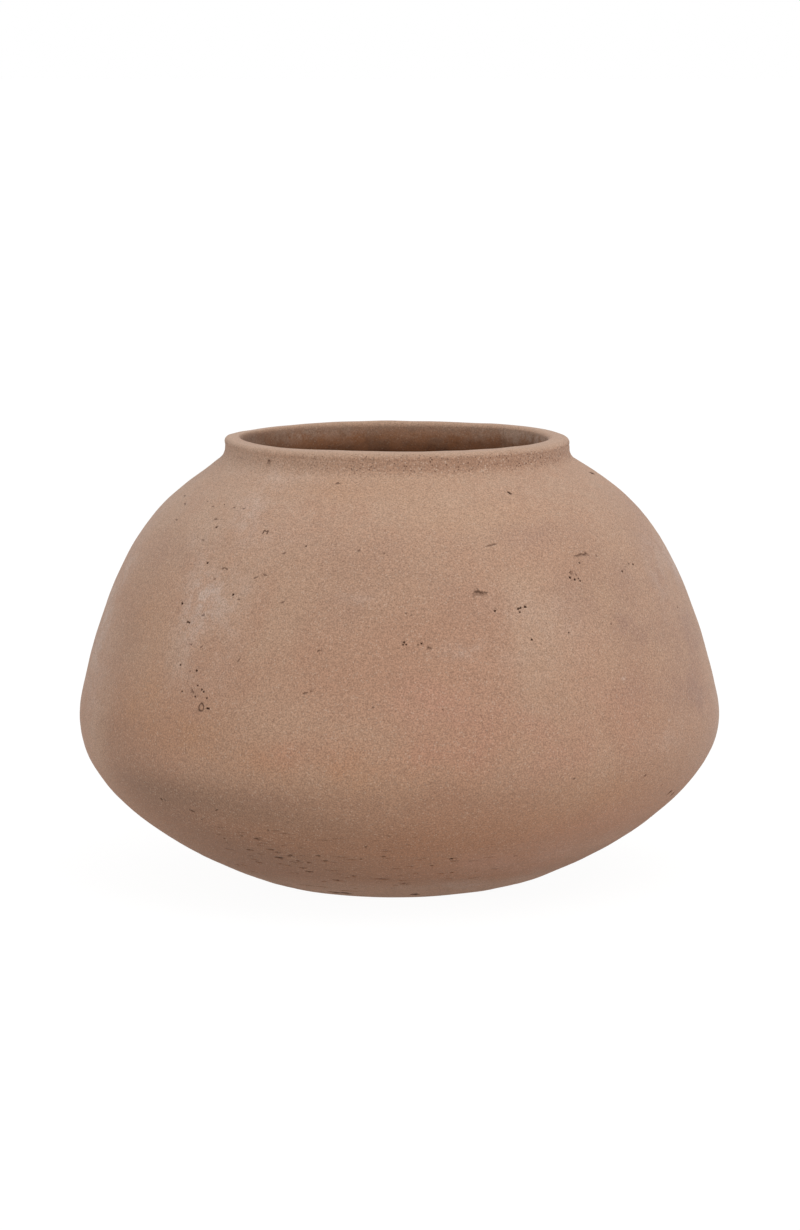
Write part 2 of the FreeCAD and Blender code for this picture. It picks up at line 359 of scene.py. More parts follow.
class Waves:
    """Soft unevenness made of many seeded plane waves."""

    def __init__(self, seed: int, low: float, high: float, count: int = 28) -> None:
        """Draw the waves.

        Args:
            seed: Seed of the draw.
            low: Shortest wave length.
            high: Longest wave length.
            count: Number of waves.
        """
        draw = np.random.default_rng(seed)
        ways = draw.normal(size=(count, 3))
        ways /= np.linalg.norm(ways, axis=1)[:, None]
        self.ways = ways * (TURN / draw.uniform(low, high, count))[:, None]
        self.starts = draw.uniform(0.0, TURN, count)
        self.level = math.sqrt(2.0 / count)

    def at(self, points: Array) -> Array:
        """Height of the waves.

        Args:
            points: Points to look at.

        Returns:
            The height at each point, whose mean square is about 1.
        """
        total = np.zeros(len(points))
        for way, start in zip(self.ways, self.starts):
            total += np.cos(points @ way + start)
        return total * self.level


@dataclass(frozen=True)
class Mark:
    """One mark in the skin, by its place in the unrolled wall and its real size.

    The bearing is the angle round the axis, and along is the length along the section.
    """

    kind: MarkKind
    bearing: float
    along: float
    radius: float
    length: float
    width: float
    tilt: float
    depth: float
    ragged: Pair

    # Height and pace of the waves along a gouge, and of those round the outline of any mark
    WAVER = ((0.13, 5.3), (0.13, 9.7))
    OUTLINE = ((0.16, 3), (0.11, 5))
    # Share of the full stain, with its painted shade, that a kind takes, where it is less than 1
    STAINS_AND_SHADE = {MarkKind.FLAW: 0.55, MarkKind.DASH: 0.8, MarkKind.SCORE: 0.3, MarkKind.CHIP: 0.0}
    # Stain along a ring's groove, partly painted shade in the groove
    RING_STAIN_AND_SHADE = 0.75
    # Middle and half width of a ring's groove, in shares of the ring's half width
    RING_GROOVE = (0.72, 0.26)
    # Unevenness of a ring's outline beside that of the others
    RING_UNEVEN = 0.35
    # Height of the clay that a gouge pushed up, in shares of its depth
    BURR = 0.13

    @property
    def reach(self) -> float:
        """Distance from its middle within which the mark changes the skin."""
        return 0.9 * max(self.length, self.width)

    def local(self, theta: Array, s: Array) -> tuple[Array, Array]:
        """Turn points of the unrolled wall to the mark's own directions.

        Args:
            theta: Angles round the axis.
            s: Lengths along the section.

        Returns:
            Distances along and across the mark, from its middle.
        """
        across, up = turn_from(self.bearing, theta) * self.radius, s - self.along
        lean = math.radians(self.tilt)
        return (across * math.cos(lean) + up * math.sin(lean), up * math.cos(lean) - across * math.sin(lean))

    def _ragged(self, waves: tuple[Pair, Pair], value: Array) -> Array:
        """Sum of two waves, each from its own start."""
        return sum(high * np.sin(pace * value + start) for (high, pace), start in zip(waves, self.ragged))

    def carve(self, theta: Array, s: Array) -> tuple[Array, Array]:
        """Depth and stain of the mark; the stain is partly the clay's dark stain and partly painted shade in
        the hollow.

        Args:
            theta: Angles round the axis.
            s: Lengths along the section.

        Returns:
            The change of the skin along its normal, and the stain with its painted shade, from 0 to 1.
        """
        gouge = self.kind is MarkKind.GOUGE
        along, up = self.local(theta, s)
        x, y = 2 * along / self.length, 2 * up / self.width
        if gouge:
            y = y + self._ragged(self.WAVER, x)
        angle = np.arctan2(y, x)
        far = np.cbrt(np.abs(x) ** 3 + np.abs(y) ** 3) if gouge else np.hypot(x, y)
        uneven = self.RING_UNEVEN if self.kind is MarkKind.RING else 1.0
        rho = far * (1 + uneven * self._ragged(self.OUTLINE, angle))
        if self.kind in (MarkKind.RING, MarkKind.ARCH):
            return self._groove(rho, angle)
        bowl = np.clip(1 - rho ** 2, 0, None)
        stain_and_shade = smooth_step(1.08, 0.7, rho)
        if gouge:
            steep = np.clip(0.8 + 0.55 * y, 0.1, None)
            burr = np.exp(-((rho - 1.18) / 0.2) ** 2) * smooth_step(0.2, -0.7, y)
            # The stain is heavier along a gouge's upper edge: painted shade cast by its upper wall under
            # light from above
            shaded = 0.36 + 0.4 * smooth_step(0.1, 0.6, y)
            return self.depth * (self.BURR * burr - bowl * steep), stain_and_shade * shaded
        walls = bowl if self.kind is MarkKind.CHIP else np.sqrt(bowl) * (0.6 + 0.4 * bowl)
        return -self.depth * walls, self.STAINS_AND_SHADE.get(self.kind, 1.0) * stain_and_shade

    def _groove(self, rho: Array, angle: Array) -> tuple[Array, Array]:
        """Depth and stain, partly painted shade in the groove, of a ring, or of an arch, which is the upper
        part of one.

        Args:
            rho: Distances from the middle, in shares of the half width.
            angle: Angles round the middle.

        Returns:
            The change of the skin along its normal, and the stain with its painted shade.
        """
        middle, half = self.RING_GROOVE
        cut = np.clip(1 - ((rho - middle) / half) ** 2, 0, None)
        if self.kind is MarkKind.ARCH:
            cut *= smooth_step(-0.45, 0.1, np.sin(angle))
        else:
            cut *= 0.8 + 0.2 * np.sin(2 * angle + self.ragged[0])
        return -self.depth * cut, self.RING_STAIN_AND_SHADE * smooth_step(0.1, 0.7, cut)


@dataclass(frozen=True)
class Cloud:
    """Soft patch of tint on the skin, with its reach round the pot and along the section."""

    tint: Tint
    bearing: float
    along: float
    radius: float
    spread: Pair
    strength: float

    def weight(self, theta: Array, s: Array) -> Array:
        """Strength of the patch at points of the unrolled wall.

        Args:
            theta: Angles round the axis.
            s: Lengths along the section.

        Returns:
            The strength at each point.
        """
        turn = turn_from(self.bearing, theta)
        far = (turn * self.radius / self.spread[0]) ** 2 + ((s - self.along) / self.spread[1]) ** 2
        return self.strength * np.exp(-far)


@dataclass
class FiredSkin:
    """Skin of the whole pot: its drift, unevenness, tool lines, marks and clouds of tint.

    Drift is how far the middle of the pot wanders from the axis, by level.
    """

    section: Section
    view: PhotoView
    drift_levels: tuple[float, ...] = (0.0, 38 * MM, 109 * MM, 205 * MM, 290 * MM)
    drift_across: tuple[float, ...] = (-1.4 * MM, -1.5 * MM, 0.9 * MM, 0.4 * MM, -0.6 * MM)
    drift_deep: tuple[float, ...] = (0.0, 0.5 * MM, -0.6 * MM, 0.5 * MM, 0.3 * MM)
    sag: float = 0.22 * MM
    dent: float = 0.07 * MM
    ripple: float = 0.022 * MM
    lip_calm: float = 0.6
    grit: float = 0.065 * MM
    finger_pitch: float = 11.0 * MM
    finger_depth: float = 0.3 * MM
    finger_wander: float = 0.25
    oval: float = 0.35 * MM
    right_swell: float = 1.2 * MM
    swell_levels: tuple[float, float, float] = (185 * MM, 255 * MM, 286 * MM)
    mouth_shift: float = -1.9 * MM
    mouth_haze: float = 0.34
    lip_wear: float = 0.5 * MM
    wear_bearing: float = math.radians(-45.0)
    patchiness: float = 0.35
    marks: list[Mark] = field(default_factory=list)
    clouds: list[Cloud] = field(default_factory=list)

    LAYERS = ("pit", "inside", "band", "lip") + tuple(tint.value for tint in Tint)
    # Bearing and reach in degrees of the side where the gritty band fades out, and how much it fades there
    BAND_FADE_SIDE = (-144.0, 42.0)
    BAND_FADE = 0.85
    # Bearing and reach in degrees of the side where the lip's colour runs furthest down the inside: painted
    # shading of a rounder inner edge of the lip
    LIP_SHADE_SIDE = (75.0, 60.0)
    # How far the lip's colour runs down the inside all round, as painted shading over the inner edge, and how
    # much further on that side
    LIP_SHADE_REACH = (2.5 * MM, 6.0 * MM)
    # How far above the collar's foot the gritty band is full, and above the crease fades and ends
    BAND_START = 8.5 * MM
    BAND_END = (0.5 * MM, 5.0 * MM)
    # How much higher it reaches in front
    BAND_FRONT = 1.8 * MM
    # Levels between which the haze of the mouth, the rim's rises and the oval come in
    HAZE_LEVELS = (268 * MM, 288 * MM)
    RISE_LEVELS = (260 * MM, 286 * MM)
    OVAL_LEVELS = (30 * MM, 110 * MM)
    # Turn of the oval with the level, in radians a metre, and where it starts
    OVAL_TURN = (7.0, 0.6)
    # Bearing and reach in degrees, and height in millimetres, of the rim's rises
    RISES = ((34.0, 27.0, 1.35), (-172.0, 26.0, 1.3), (-4.0, 16.0, 0.45))
    # Bearing and reach in degrees, then level, spread and height in millimetres, of swells in the outer wall
    SWELLS = ((180.0, 45.0, 274.0, 6.0, 0.9), (-134.0, 18.0, 4.0, 6.0, 0.4), (-35.0, 18.0, 6.0, 7.0, 0.5),
              (-61.0, 9.0, 2.5, 4.0, -0.35))
    # Steps along a line of sight, and how far before and behind the pot's axis it is followed
    SIGHT_STEPS = 6000
    SIGHT_REACH = (0.35, 0.2)

    def __post_init__(self) -> None:
        """Draw the unevenness."""
        self.long_waves = Waves(11, 70 * MM, 150 * MM)
        self.mid_waves = Waves(12, 20 * MM, 38 * MM)
        self.short_waves = Waves(13, 6 * MM, 11 * MM, 40)
        self.grit_waves = Waves(14, 1.9 * MM, 3.6 * MM, 60)
        self.finger_waves = Waves(15, 60 * MM, 140 * MM)
        self.cloud_waves = Waves(16, 22 * MM, 60 * MM)

    def drift(self, level: Array) -> tuple[Array, Array]:
        """Wander of the pot's middle.

        Args:
            level: Levels above the floor.

        Returns:
            The wander sideways and in depth at each level.
        """
        steps = np.arange(len(self.drift_levels))
        share = np.interp(level, self.drift_levels, steps)
        eased = np.floor(share) + smooth_step(0.0, 1.0, share % 1.0)
        return np.interp(eased, steps, self.drift_across), np.interp(eased, steps, self.drift_deep)

    @staticmethod
    def _near(theta: Array, bearing: float, reach: float) -> Array:
        """Weight that falls off round the pot from a bearing, with bearing and reach in degrees."""
        return np.exp(-(turn_from(math.radians(bearing), theta) / math.radians(reach)) ** 2)

    def masks(self, theta: Array, s: Array) -> Layers:
        """Shares of the inner skin, the gritty neck band and the smoothed lip. The inner skin's share comes
        in slowly over the lip's inner edge, as painted shading of a rounder edge.

        Args:
            theta: Angles round the axis.
            s: Lengths along the section.

        Returns:
            The shares at each point, by the name of their vertex layer.
        """
        station = self.section.station
        front = np.clip(-np.sin(theta), 0, 1) ** 8
        # Reach of the painted shading over the lip's inner edge, furthest on one side
        lip_shade = self.LIP_SHADE_REACH[0] + self.LIP_SHADE_REACH[1] * self._near(theta, *self.LIP_SHADE_SIDE)
        inside = smooth_step(station["lip_crest"] + 0.5 * MM, station["lip_inside"] + lip_shade, s)
        fade, end = self.BAND_END
        band = (smooth_step(station["collar_foot"], station["collar_foot"] + self.BAND_START, s)
                * smooth_step(end, fade, s - station["crease"] - self.BAND_FRONT * front)
                * (1 - self.BAND_FADE * self._near(theta, *self.BAND_FADE_SIDE)))
        lip = (smooth_step(station["crease"] + 1 * MM, station["lip_shoulder"], s)
               * smooth_step(station["lip_inside"], station["lip_crest"] + 1 * MM, s))
        return {"inside": inside, "band": band, "lip": lip}

    def surface(self, theta: Array, s: Array) -> tuple[Array, Layers]:
        """Finished skin at points of the unrolled wall.

        Args:
            theta: Angles round the axis.
            s: Lengths along the section.

        Returns:
            The points, and the value of each vertex layer there.
        """
        station = self.section.station
        radius, level = self.section.place(s)
        out_r, out_z = self.section.normal(s)
        cos, sin = np.cos(theta), np.sin(theta)
        plain = np.stack((radius * cos, radius * sin, level), axis=1)
        layers = {name: np.zeros(len(s)) for name in self.LAYERS}
        layers.update(self.masks(theta, s))
        layers[Tint.HAZE.value] = self.mouth_haze * layers["inside"] * smooth_step(*self.HAZE_LEVELS, level)
        lift = self._unevenness(plain, s, layers)
        patchy = np.clip(1 + self.patchiness * self.cloud_waves.at(plain), 0.2, 1.8)
        self._mark(theta, s, patchy, lift, layers)
        settle = smooth_step(station["foot_edge"], station["foot_turn"] + 10 * MM, s)
        lift *= settle * (smooth_step(station["floor_middle"], station["floor_edge"], s) * 0.5 + 0.5)
        lift += self._swell(theta, s, level, layers["inside"])
        rise = sum(height * MM * self._near(theta, bearing, reach) for bearing, reach, height in self.RISES)
        rise = rise * smooth_step(*self.RISE_LEVELS, level)
        across, deep = self.drift(level)
        mouth = (smooth_step(station["lip_crest"] - 2 * MM, station["lip_inside"], s)
                 * smooth_step(station["throat"] + 40 * MM, station["throat"], s))
        across = across + self.mouth_shift * mouth
        radius = radius + out_r * lift
        level = np.maximum(level + rise + out_z * lift, 0.0)
        return np.stack((radius * cos + across, radius * sin + deep, level), axis=1), layers

    def _unevenness(self, plain: Array, s: Array, layers: Layers) -> Array:
        """Waves of the skin, grit in the neck band, and finger lines inside.

        Args:
            plain: Points of the bare skin.
            s: Lengths along the section.
            layers: Vertex layers with the masks.

        Returns:
            The lift of the skin along its normal.
        """
        band, level = layers["band"], plain[:, 2]
        lift = self.sag * self.long_waves.at(plain) + self.dent * self.mid_waves.at(plain)
        lift += self.ripple * self.short_waves.at(plain) * (1 - self.lip_calm * layers["lip"])
        near = band > 0.01
        lift[near] += self.grit * self.grit_waves.at(plain[near]) * band[near]
        wander = self.finger_wander * self.finger_waves.at(plain)
        fingers = np.cos(TURN * (level / self.finger_pitch + wander)) * layers["inside"]
        below_lip = smooth_step(4 * MM, 30 * MM, s - self.section.station["lip_inside"])
        return lift + self.finger_depth * fingers * below_lip

    def _mark(self, theta: Array, s: Array, patchy: Array, lift: Array, layers: Layers) -> None:
        """Cut the marks into the skin and add the clouds, those past the crest of the lip on the inner skin.

        Args:
            theta: Angles round the axis.
            s: Lengths along the section.
            patchy: Unevenness of the patchy tints.
            lift: Lift of the skin, which the marks change.
            layers: Vertex layers, which take the darkest stain, with its painted shade, and all the clouds.
        """
        pit, inner = layers["pit"], layers["inside"]
        for mark in self.marks:
            close = np.flatnonzero(np.abs(s - mark.along) < mark.reach)
            close = close[np.hypot(*mark.local(theta[close], s[close])) < mark.reach]
            if len(close):
                cut, stain_and_shade = mark.carve(theta[close], s[close])
                lift[close] += cut
                pit[close] = np.maximum(pit[close], stain_and_shade)
        for cloud in self.clouds:
            share = inner if cloud.along > self.section.station["lip_crest"] else 1 - inner
            spread = 1.0 if cloud.tint in SMOOTH_TINTS else patchy
            layers[cloud.tint.value] += cloud.weight(theta, s) * share * spread

    def _swell(self, theta: Array, s: Array, level: Array, inner: Array) -> Array:
        """Larger departures of the wall from a true round: oval, swells and the worn lip.

        Args:
            theta: Angles round the axis.
            s: Lengths along the section.
            level: Levels of the bare skin.
            inner: Share of the inner skin, which moves with the outer one.

        Returns:
            The lift of the skin along its normal.
        """
        station, outer = self.section.station, 1 - inner
        both = outer - inner
        twist, start = self.OVAL_TURN
        lift = self.oval * np.cos(2 * theta + twist * level + start) * both
        lift *= smooth_step(*self.OVAL_LEVELS, level)
        low, middle, high = self.swell_levels
        swell = smooth_step(low, middle, level) * smooth_step(high, middle + 12 * MM, level)
        lift += self.right_swell * swell * np.clip(np.cos(theta), 0, 1) ** 3 * both
        worn = smooth_step(station["crease"] - 1 * MM, station["crease"] + 1.2 * MM, s)
        worn *= smooth_step(station["lip_shoulder"] + 1 * MM, station["lip_shoulder"] - 1.5 * MM, s)
        lift -= self.lip_wear * worn * np.sqrt(np.clip(np.cos(theta - self.wear_bearing), 0, 1))
        for bearing, reach, middle, spread, height in self.SWELLS:
            part = np.exp(-((level - middle * MM) / (spread * MM)) ** 2) * self._near(theta, bearing, reach)
            lift += height * MM * part * outer * smooth_step(station["foot_edge"], station["foot_turn"], s)
        return lift

    def hit(self, across: float, down: float) -> Pair:
        """Place on the outer skin that a pixel of the photograph shows.

        Args:
            across: Pixels from the left edge.
            down: Pixels from the top edge.

        Returns:
            The angle round the axis and the length along the section.
        """
        start, way = self.view.place, self.view.ray(across, down)
        before, behind = self.SIGHT_REACH
        far = np.linspace(self.view.distance - before, self.view.distance + behind, self.SIGHT_STEPS)
        points = np.array(start) + far[:, None] * np.array(way)
        drift_x, drift_y = self.drift(points[:, 2])
        x, y = points[:, 0] - drift_x, points[:, 1] - drift_y
        s = self.section.outside(points[:, 2])
        radius, _ = self.section.place(s)
        gap = np.hypot(x, y) - radius
        gap[(points[:, 2] < 0.0) | (points[:, 2] > self.section.sizes.height)] = 1.0
        first = int(np.argmax(gap < 0.0)) if (gap < 0.0).any() else int(np.argmin(np.abs(gap)))
        return math.atan2(y[first], x[first]), float(s[first])


class PhotoMarks:
    """Marks and clouds that the photograph shows, each placed by its own pixel, and seeded ones elsewhere."""

    # Pixel across and down, then length, width and depth in millimetres, and tilt in degrees
    GOUGES = (
        ((477.8, 593.7), (8.4, 3.6, 0.8), 3), ((483, 594), (5.6, 2.6, 0.6), 0),
        ((583, 554.9), (10.5, 2, 0.7), -4), ((577.4, 556), (6.4, 1.8, 0.6), 2),
        ((571.2, 572.8), (3.4, 2.6, 0.7), 55), ((337.8, 484), (3.6, 2.4, 0.6), 5),
        ((268.8, 462.5), (3.2, 3.4, 0.8), -10), ((304.9, 693.3), (3.6, 1.4, 0.6), 16),
        ((319.2, 650.7), (3.6, 1.4, 0.4), 18), ((644.8, 775.7), (3.2, 1.8, 0.5), 28),
        ((429.1, 648.6), (3.8, 1.9, 0.6), 6), ((192.1, 691.2), (3.8, 2, 0.8), -45),
        ((215.5, 519.2), (4.2, 1.8, 0.6), 8), ((264.8, 575), (3.4, 1.5, 0.6), -10),
        ((358.5, 550.7), (2.8, 1.5, 0.5), 24),
    )
    # The same, of the dark cuts
    CUTS = (
        ((590.9, 474.8), (10, 2.6, 0.8), -14), ((508.6, 492.8), (2.6, 1.6, 0.8), -36),
        ((510.3, 494), (2.6, 1.6, 0.8), -36), ((669.7, 792.4), (5.4, 3, 0.9), 40),
        ((672.1, 793.9), (4.6, 3, 0.9), 32), ((517.8, 609.1), (1.9, 1.4, 0.8), 10),
        ((520, 608.2), (1.9, 1.4, 0.8), 20), ((187.2, 621.8), (2.2, 1.4, 0.7), -18),
        ((189, 622.4), (1.8, 1.3, 0.7), -18), ((207.2, 708.4), (1.9, 1.5, 0.7), 0),
        ((208.8, 708.6), (1.6, 1.2, 0.6), 0), ((335, 893), (9.5, 6.4, 0.9), -4),
        ((346, 893.6), (8, 6.4, 0.9), 0), ((414.5, 894.5), (6.4, 5.6, 0.8), 2),
    )
    # Pixel across and down, and width in millimetres
    PITS = (
        ((207, 562.5), 1.6), ((232.7, 594.4), 1.7), ((181.8, 603.3), 1.7), ((216.3, 527), 1.6),
        ((196.6, 670.6), 1.6), ((202, 689.6), 1.4), ((203.8, 691.8), 1.5), ((206.8, 698.2), 1.3),
        ((180.3, 664.9), 1.3), ((181.8, 691.4), 1.2), ((224.5, 504.2), 1.1), ((305.9, 545.8), 1.2),
        ((197.8, 685.6), 1.1), ((195.2, 696.6), 1.2), ((579.3, 563), 1.2), ((570, 577.4), 1.6),
        ((574.8, 579.4), 1.6), ((578.4, 578.4), 1.1), ((580.2, 580.8), 1.3), ((622.1, 571.3), 1.5),
        ((632.8, 564.4), 1.6), ((677, 607.1), 1.3), ((524.8, 607.1), 1.7), ((519.6, 612.4), 1.3),
        ((494.6, 611.2), 1.5), ((531.5, 639.7), 1.5), ((568.6, 632.8), 1.1), ((404.1, 642.2), 1.4),
        ((403.1, 644.6), 1.2), ((406.2, 644.5), 1.1), ((421.4, 643.4), 1.4), ((160.9, 799.7), 1.7),
        ((451.2, 859.3), 1.9),
    )
    # Pixel across and down, length in millimetres and tilt in degrees, of shallow flaws
    FLAWS = (
        ((184.2, 495.3), 5.6, 0), ((184.4, 503.2), 6, -14), ((176, 519.3), 4.6, 0), ((207.4, 501), 2.4, 0),
        ((212.8, 506), 2.8, 20), ((234.2, 507.1), 2.8, 15), ((243.7, 508.3), 3, 10),
        ((202.8, 539.7), 3.6, -10), ((284, 552.9), 3.4, 25), ((214.3, 578.7), 2.6, 20),
        ((255.6, 577.5), 3.8, 25), ((238, 599.3), 3.2, 10), ((282.4, 602), 3.8, 25),
        ((202.8, 615), 3.2, 20), ((191.3, 644.5), 2, 0), ((201.3, 646.8), 2.8, 30),
        ((238.8, 660.2), 3.2, 55), ((190, 671.3), 1.6, 0), ((310.7, 691.2), 1.8, 15), ((596.2, 556), 2, 0),
        ((628.4, 563.9), 2.4, 0), ((610.9, 624.1), 1.5, 0), ((384.5, 553.3), 1.4, 0),
        ((411.3, 615.1), 1.5, 0), ((417.9, 644.8), 1.4, 0), ((373, 707.4), 1.8, 0),
        ((573.9, 778.6), 2.2, 10), ((661.8, 784.8), 2.2, 30), ((490.7, 545.4), 9, 11),
        ((576.2, 574.6), 2.2, -50), ((164.3, 800.7), 2, 0), ((201.7, 819.6), 1.8, 0),
        ((365.7, 846.4), 2.2, 0), ((406.2, 613.3), 1.6, 0), ((442.8, 709.5), 1.3, 0),
    )
    # The same, and whether its edge is sharp, of the dents that the turning tool left round the lower wall,
    # which the photograph sees at a low angle
    DASHES = (
        ((191.9, 811), 5.4, -16, True), ((216.6, 810), 3.4, 32, False), ((268.2, 830.3), 2.2, 0, False),
        ((241.8, 835.7), 3.4, 5, False), ((224.6, 838.4), 2, 0, False), ((257, 838.5), 4, 0, True),
        ((270.5, 849.1), 7, 2, False), ((277.4, 852), 4.4, 0, False), ((279.7, 857.4), 6.6, 0, True),
        ((290.3, 855.1), 3.8, 4, True), ((318.2, 855.8), 4, 0, True), ((309, 862.2), 3.4, 0, False),
        ((325.6, 860.7), 3.8, 0, False), ((298.1, 860.4), 2.8, 0, False), ((259, 862.3), 6, -4, False),
        ((309.6, 871.2), 6.2, 0, True), ((336.4, 879.9), 5, -3, True), ((324.4, 881.6), 4, 0, False),
        ((383.5, 856.6), 3.4, 3, False), ((361.1, 859), 1.9, 0, False), ((382.3, 879), 11, -1, False),
        ((354.2, 875.7), 3.4, 0, False), ((303.3, 867.5), 6, 0, False), ((347.9, 891), 12, -1, False),
        ((451.8, 872.8), 3, 0, False), ((431.7, 865.9), 3.4, 0, False), ((249.9, 849.7), 6.5, 0, False),
        ((403, 884.3), 3, 0, False),
    )
    # First and last pixel across and down, and count, of faint scores among those dents
    SCORES = (((215, 826), (425, 889), 70), ((430, 850), (520, 880), 10))
    # Pixel across and down, and width and height in millimetres
    RINGS = (((201, 707.3), (5.2, 6.4)),)
    ARCHES = (((264.6, 533), (4.6, 5.8)), ((224.2, 569), (4.4, 2.6)))
    # Pixel across and down, width in millimetres and paleness
    CHIPS = (((669.3, 720.3), 2.8, 1.3), ((623.5, 678.3), 4, 0.55))
    # Bearing in degrees, reach round and down in millimetres, and strength, of the haze inside the mouth,
    # which on the right is partly painted light on the inner wall
    HAZES_AND_LIGHT = (
        (124, (22, 5), 1.4), (104, (12, 7), 0.9), (74, (18, 3), 0.6), (31, (50, 9), 1.7),
        (-35, (50, 7), 0.9), (-95, (30, 5), 0.7),
    )
    # The same, of the smoke there, which on the left is partly painted shade on the inner wall
    SOOTS_AND_SHADE = ((158, (40, 16), 0.75), (-150, (50, 14), 0.4))
    # Pixel across and down, reach round and along in millimetres, and strength
    CLOUDS = {
        Tint.BLOOM: (
            ((206, 606), (29, 26), 0.54), ((194, 668), (20, 15), 0.38), ((662, 566), (40, 30), 0.32),
            ((671, 737), (34, 12), 0.22), ((535, 640), (34, 40), 0.16), ((460, 652), (14, 5), 0.3),
            ((360, 598), (16, 4), 0.2), ((232, 520), (40, 26), 0.35), ((110, 600), (26, 60), 0.5),
            ((100, 680), (20, 36), 0.25), ((570, 852), (60, 22), 0.16), ((445, 886), (60, 11), 0.36),
            ((275, 472), (54, 11), 0.3),
        ),
        Tint.OCHRE: (
            ((145, 705), (30, 20), 0.55), ((155, 622), (16, 15), 0.55), ((205, 735), (38, 14), 0.4),
            ((300, 765), (60, 16), 0.4), ((350, 485), (60, 18), 0.35), ((400, 770), (60, 14), 0.3),
            ((470, 515), (60, 20), 0.25), ((600, 800), (60, 24), 0.35),
        ),
        Tint.PINK: (
            ((437, 704), (30, 20), 0.6), ((505, 738), (28, 16), 0.55), ((548, 760), (30, 12), 0.45),
            ((566, 556), (18, 14), 0.5), ((620, 715), (30, 22), 0.4), ((300, 755), (30, 14), 0.35),
            ((590, 660), (20, 20), 0.3), ((420, 760), (36, 12), 0.35), ((600, 822), (46, 20), 0.3),
            ((520, 862), (46, 18), 0.4),
        ),
        # Mauve clouds: those near the right edge are painted shade there, the others are the clay's own mauve
        Tint.MAUVE: (
            ((370, 560), (50, 24), 0.3), ((330, 610), (34, 20), 0.25), ((455, 600), (30, 26), 0.25),
            ((540, 535), (34, 9), 0.5), ((168, 548), (26, 18), 0.4), ((596, 585), (34, 30), 0.55),
            ((270, 800), (22, 8), 0.4), ((640, 612), (40, 36), 0.4), ((655, 690), (40, 24), 0.4),
            ((640, 515), (44, 30), 0.5), ((690, 620), (38, 50), 0.55), ((700, 690), (34, 36), 0.55),
            ((662, 566), (36, 36), 0.32),
        ),
        # Smoke clouds: those low on the left are partly painted shade, and partly the clay's grey smoke
        Tint.SMOKE: (
            ((138, 786), (44, 20), 0.52), ((124, 640), (26, 34), 0.16), ((195, 797), (50, 15), 0.5),
            ((172, 815), (46, 20), 0.35), ((225, 842), (50, 24), 0.42), ((270, 815), (40, 16), 0.4),
            ((300, 862), (50, 22), 0.4), ((112, 736), (30, 22), 0.2), ((340, 832), (40, 16), 0.28),
        ),
        Tint.UMBER: (
            ((140, 800), (40, 20), 0.2), ((380, 580), (60, 30), 0.09), ((360, 800), (90, 13), 0.2),
            ((240, 842), (80, 30), 0.2), ((330, 745), (240, 14), 0.11), ((555, 705), (40, 36), 0.08),
            ((120, 735), (40, 24), 0.12), ((580, 562), (26, 20), 0.14), ((640, 540), (30, 30), 0.1),
        ),
    }

    # Count, and lowest and highest level, of the hidden marks of each kind
    HIDDEN = {
        MarkKind.PIT: (38, 85 * MM, 262 * MM),
        MarkKind.FLAW: (44, 80 * MM, 265 * MM),
        MarkKind.GOUGE: (12, 90 * MM, 260 * MM),
        MarkKind.DASH: (34, 6 * MM, 62 * MM),
    }
    # Count of the hidden clouds, and the lowest and highest level of smoke and of the others
    HIDDEN_CLOUDS = 46
    SMOKE_LEVELS = (10 * MM, 70 * MM)
    CLOUD_LEVELS = (50 * MM, 265 * MM)
    # Least and most turn of a hidden place from the closing line at the back, which stays clear
    HIDDEN_TURNS = (0.03, math.pi / 2 + 0.12)
    # Depths in shares of the width
    PIT_DEPTH = 0.45
    FLAW_DEPTH = 0.25
    DASH_DEPTH = 0.3
    # Depths, and least and most widths, in millimetres
    RING_DEPTH = 0.5
    CHIP_DEPTH = 0.3
    HIDDEN_GOUGE_DEPTH = 0.7
    FLAW_WIDTHS = (1.1, 1.5)
    # Levels, and the widths in millimetres that a tool dent has there, because the wall is flatter lower down
    DASH_LEVELS = (4 * MM, 62 * MM)
    DASH_WIDTHS = (2.7, 1.2)

    def __init__(self, skin: FiredSkin, seed: int = 29) -> None:
        """Set out to mark a skin.

        Args:
            skin: Skin that takes the marks.
            seed: Seed of the marks that the photograph does not show.
        """
        self.skin = skin
        self.draw = np.random.default_rng(seed)

    def _mark(self, kind: MarkKind, place: Pair, sizes: tuple[float, float, float], tilt: float) -> None:
        """Add one mark.

        Args:
            kind: Kind of the mark.
            place: Place of its middle in the unrolled wall.
            sizes: Length, width and depth in millimetres.
            tilt: Tilt in degrees.
        """
        radius, _ = self.skin.section.place(np.array(place[1]))
        length, width, depth = (size * MM for size in sizes)
        ragged = tuple(self.draw.uniform(0, TURN, 2))
        self.skin.marks.append(Mark(kind, *place, float(radius), length, width, tilt, depth, ragged))

    def _pit(self, place: Pair, width: float, stretch: float) -> None:
        """Add one pit of a width in millimetres, a little longer than it is wide."""
        sizes = (width * stretch, width, self.PIT_DEPTH * width)
        self._mark(MarkKind.PIT, place, sizes, self.draw.uniform(-40, 40))

    def _cloud(self, tint: Tint, place: Pair, spread: Pair, strength: float) -> None:
        """Add one cloud.

        Args:
            tint: Tint of the cloud.
            place: Place of its middle in the unrolled wall.
            spread: Reach round the pot and along the section, in millimetres.
            strength: Strength at its middle.
        """
        radius, _ = self.skin.section.place(np.array(place[1]))
        reach = (spread[0] * MM, spread[1] * MM)
        self.skin.clouds.append(Cloud(tint, *place, float(radius), reach, strength))

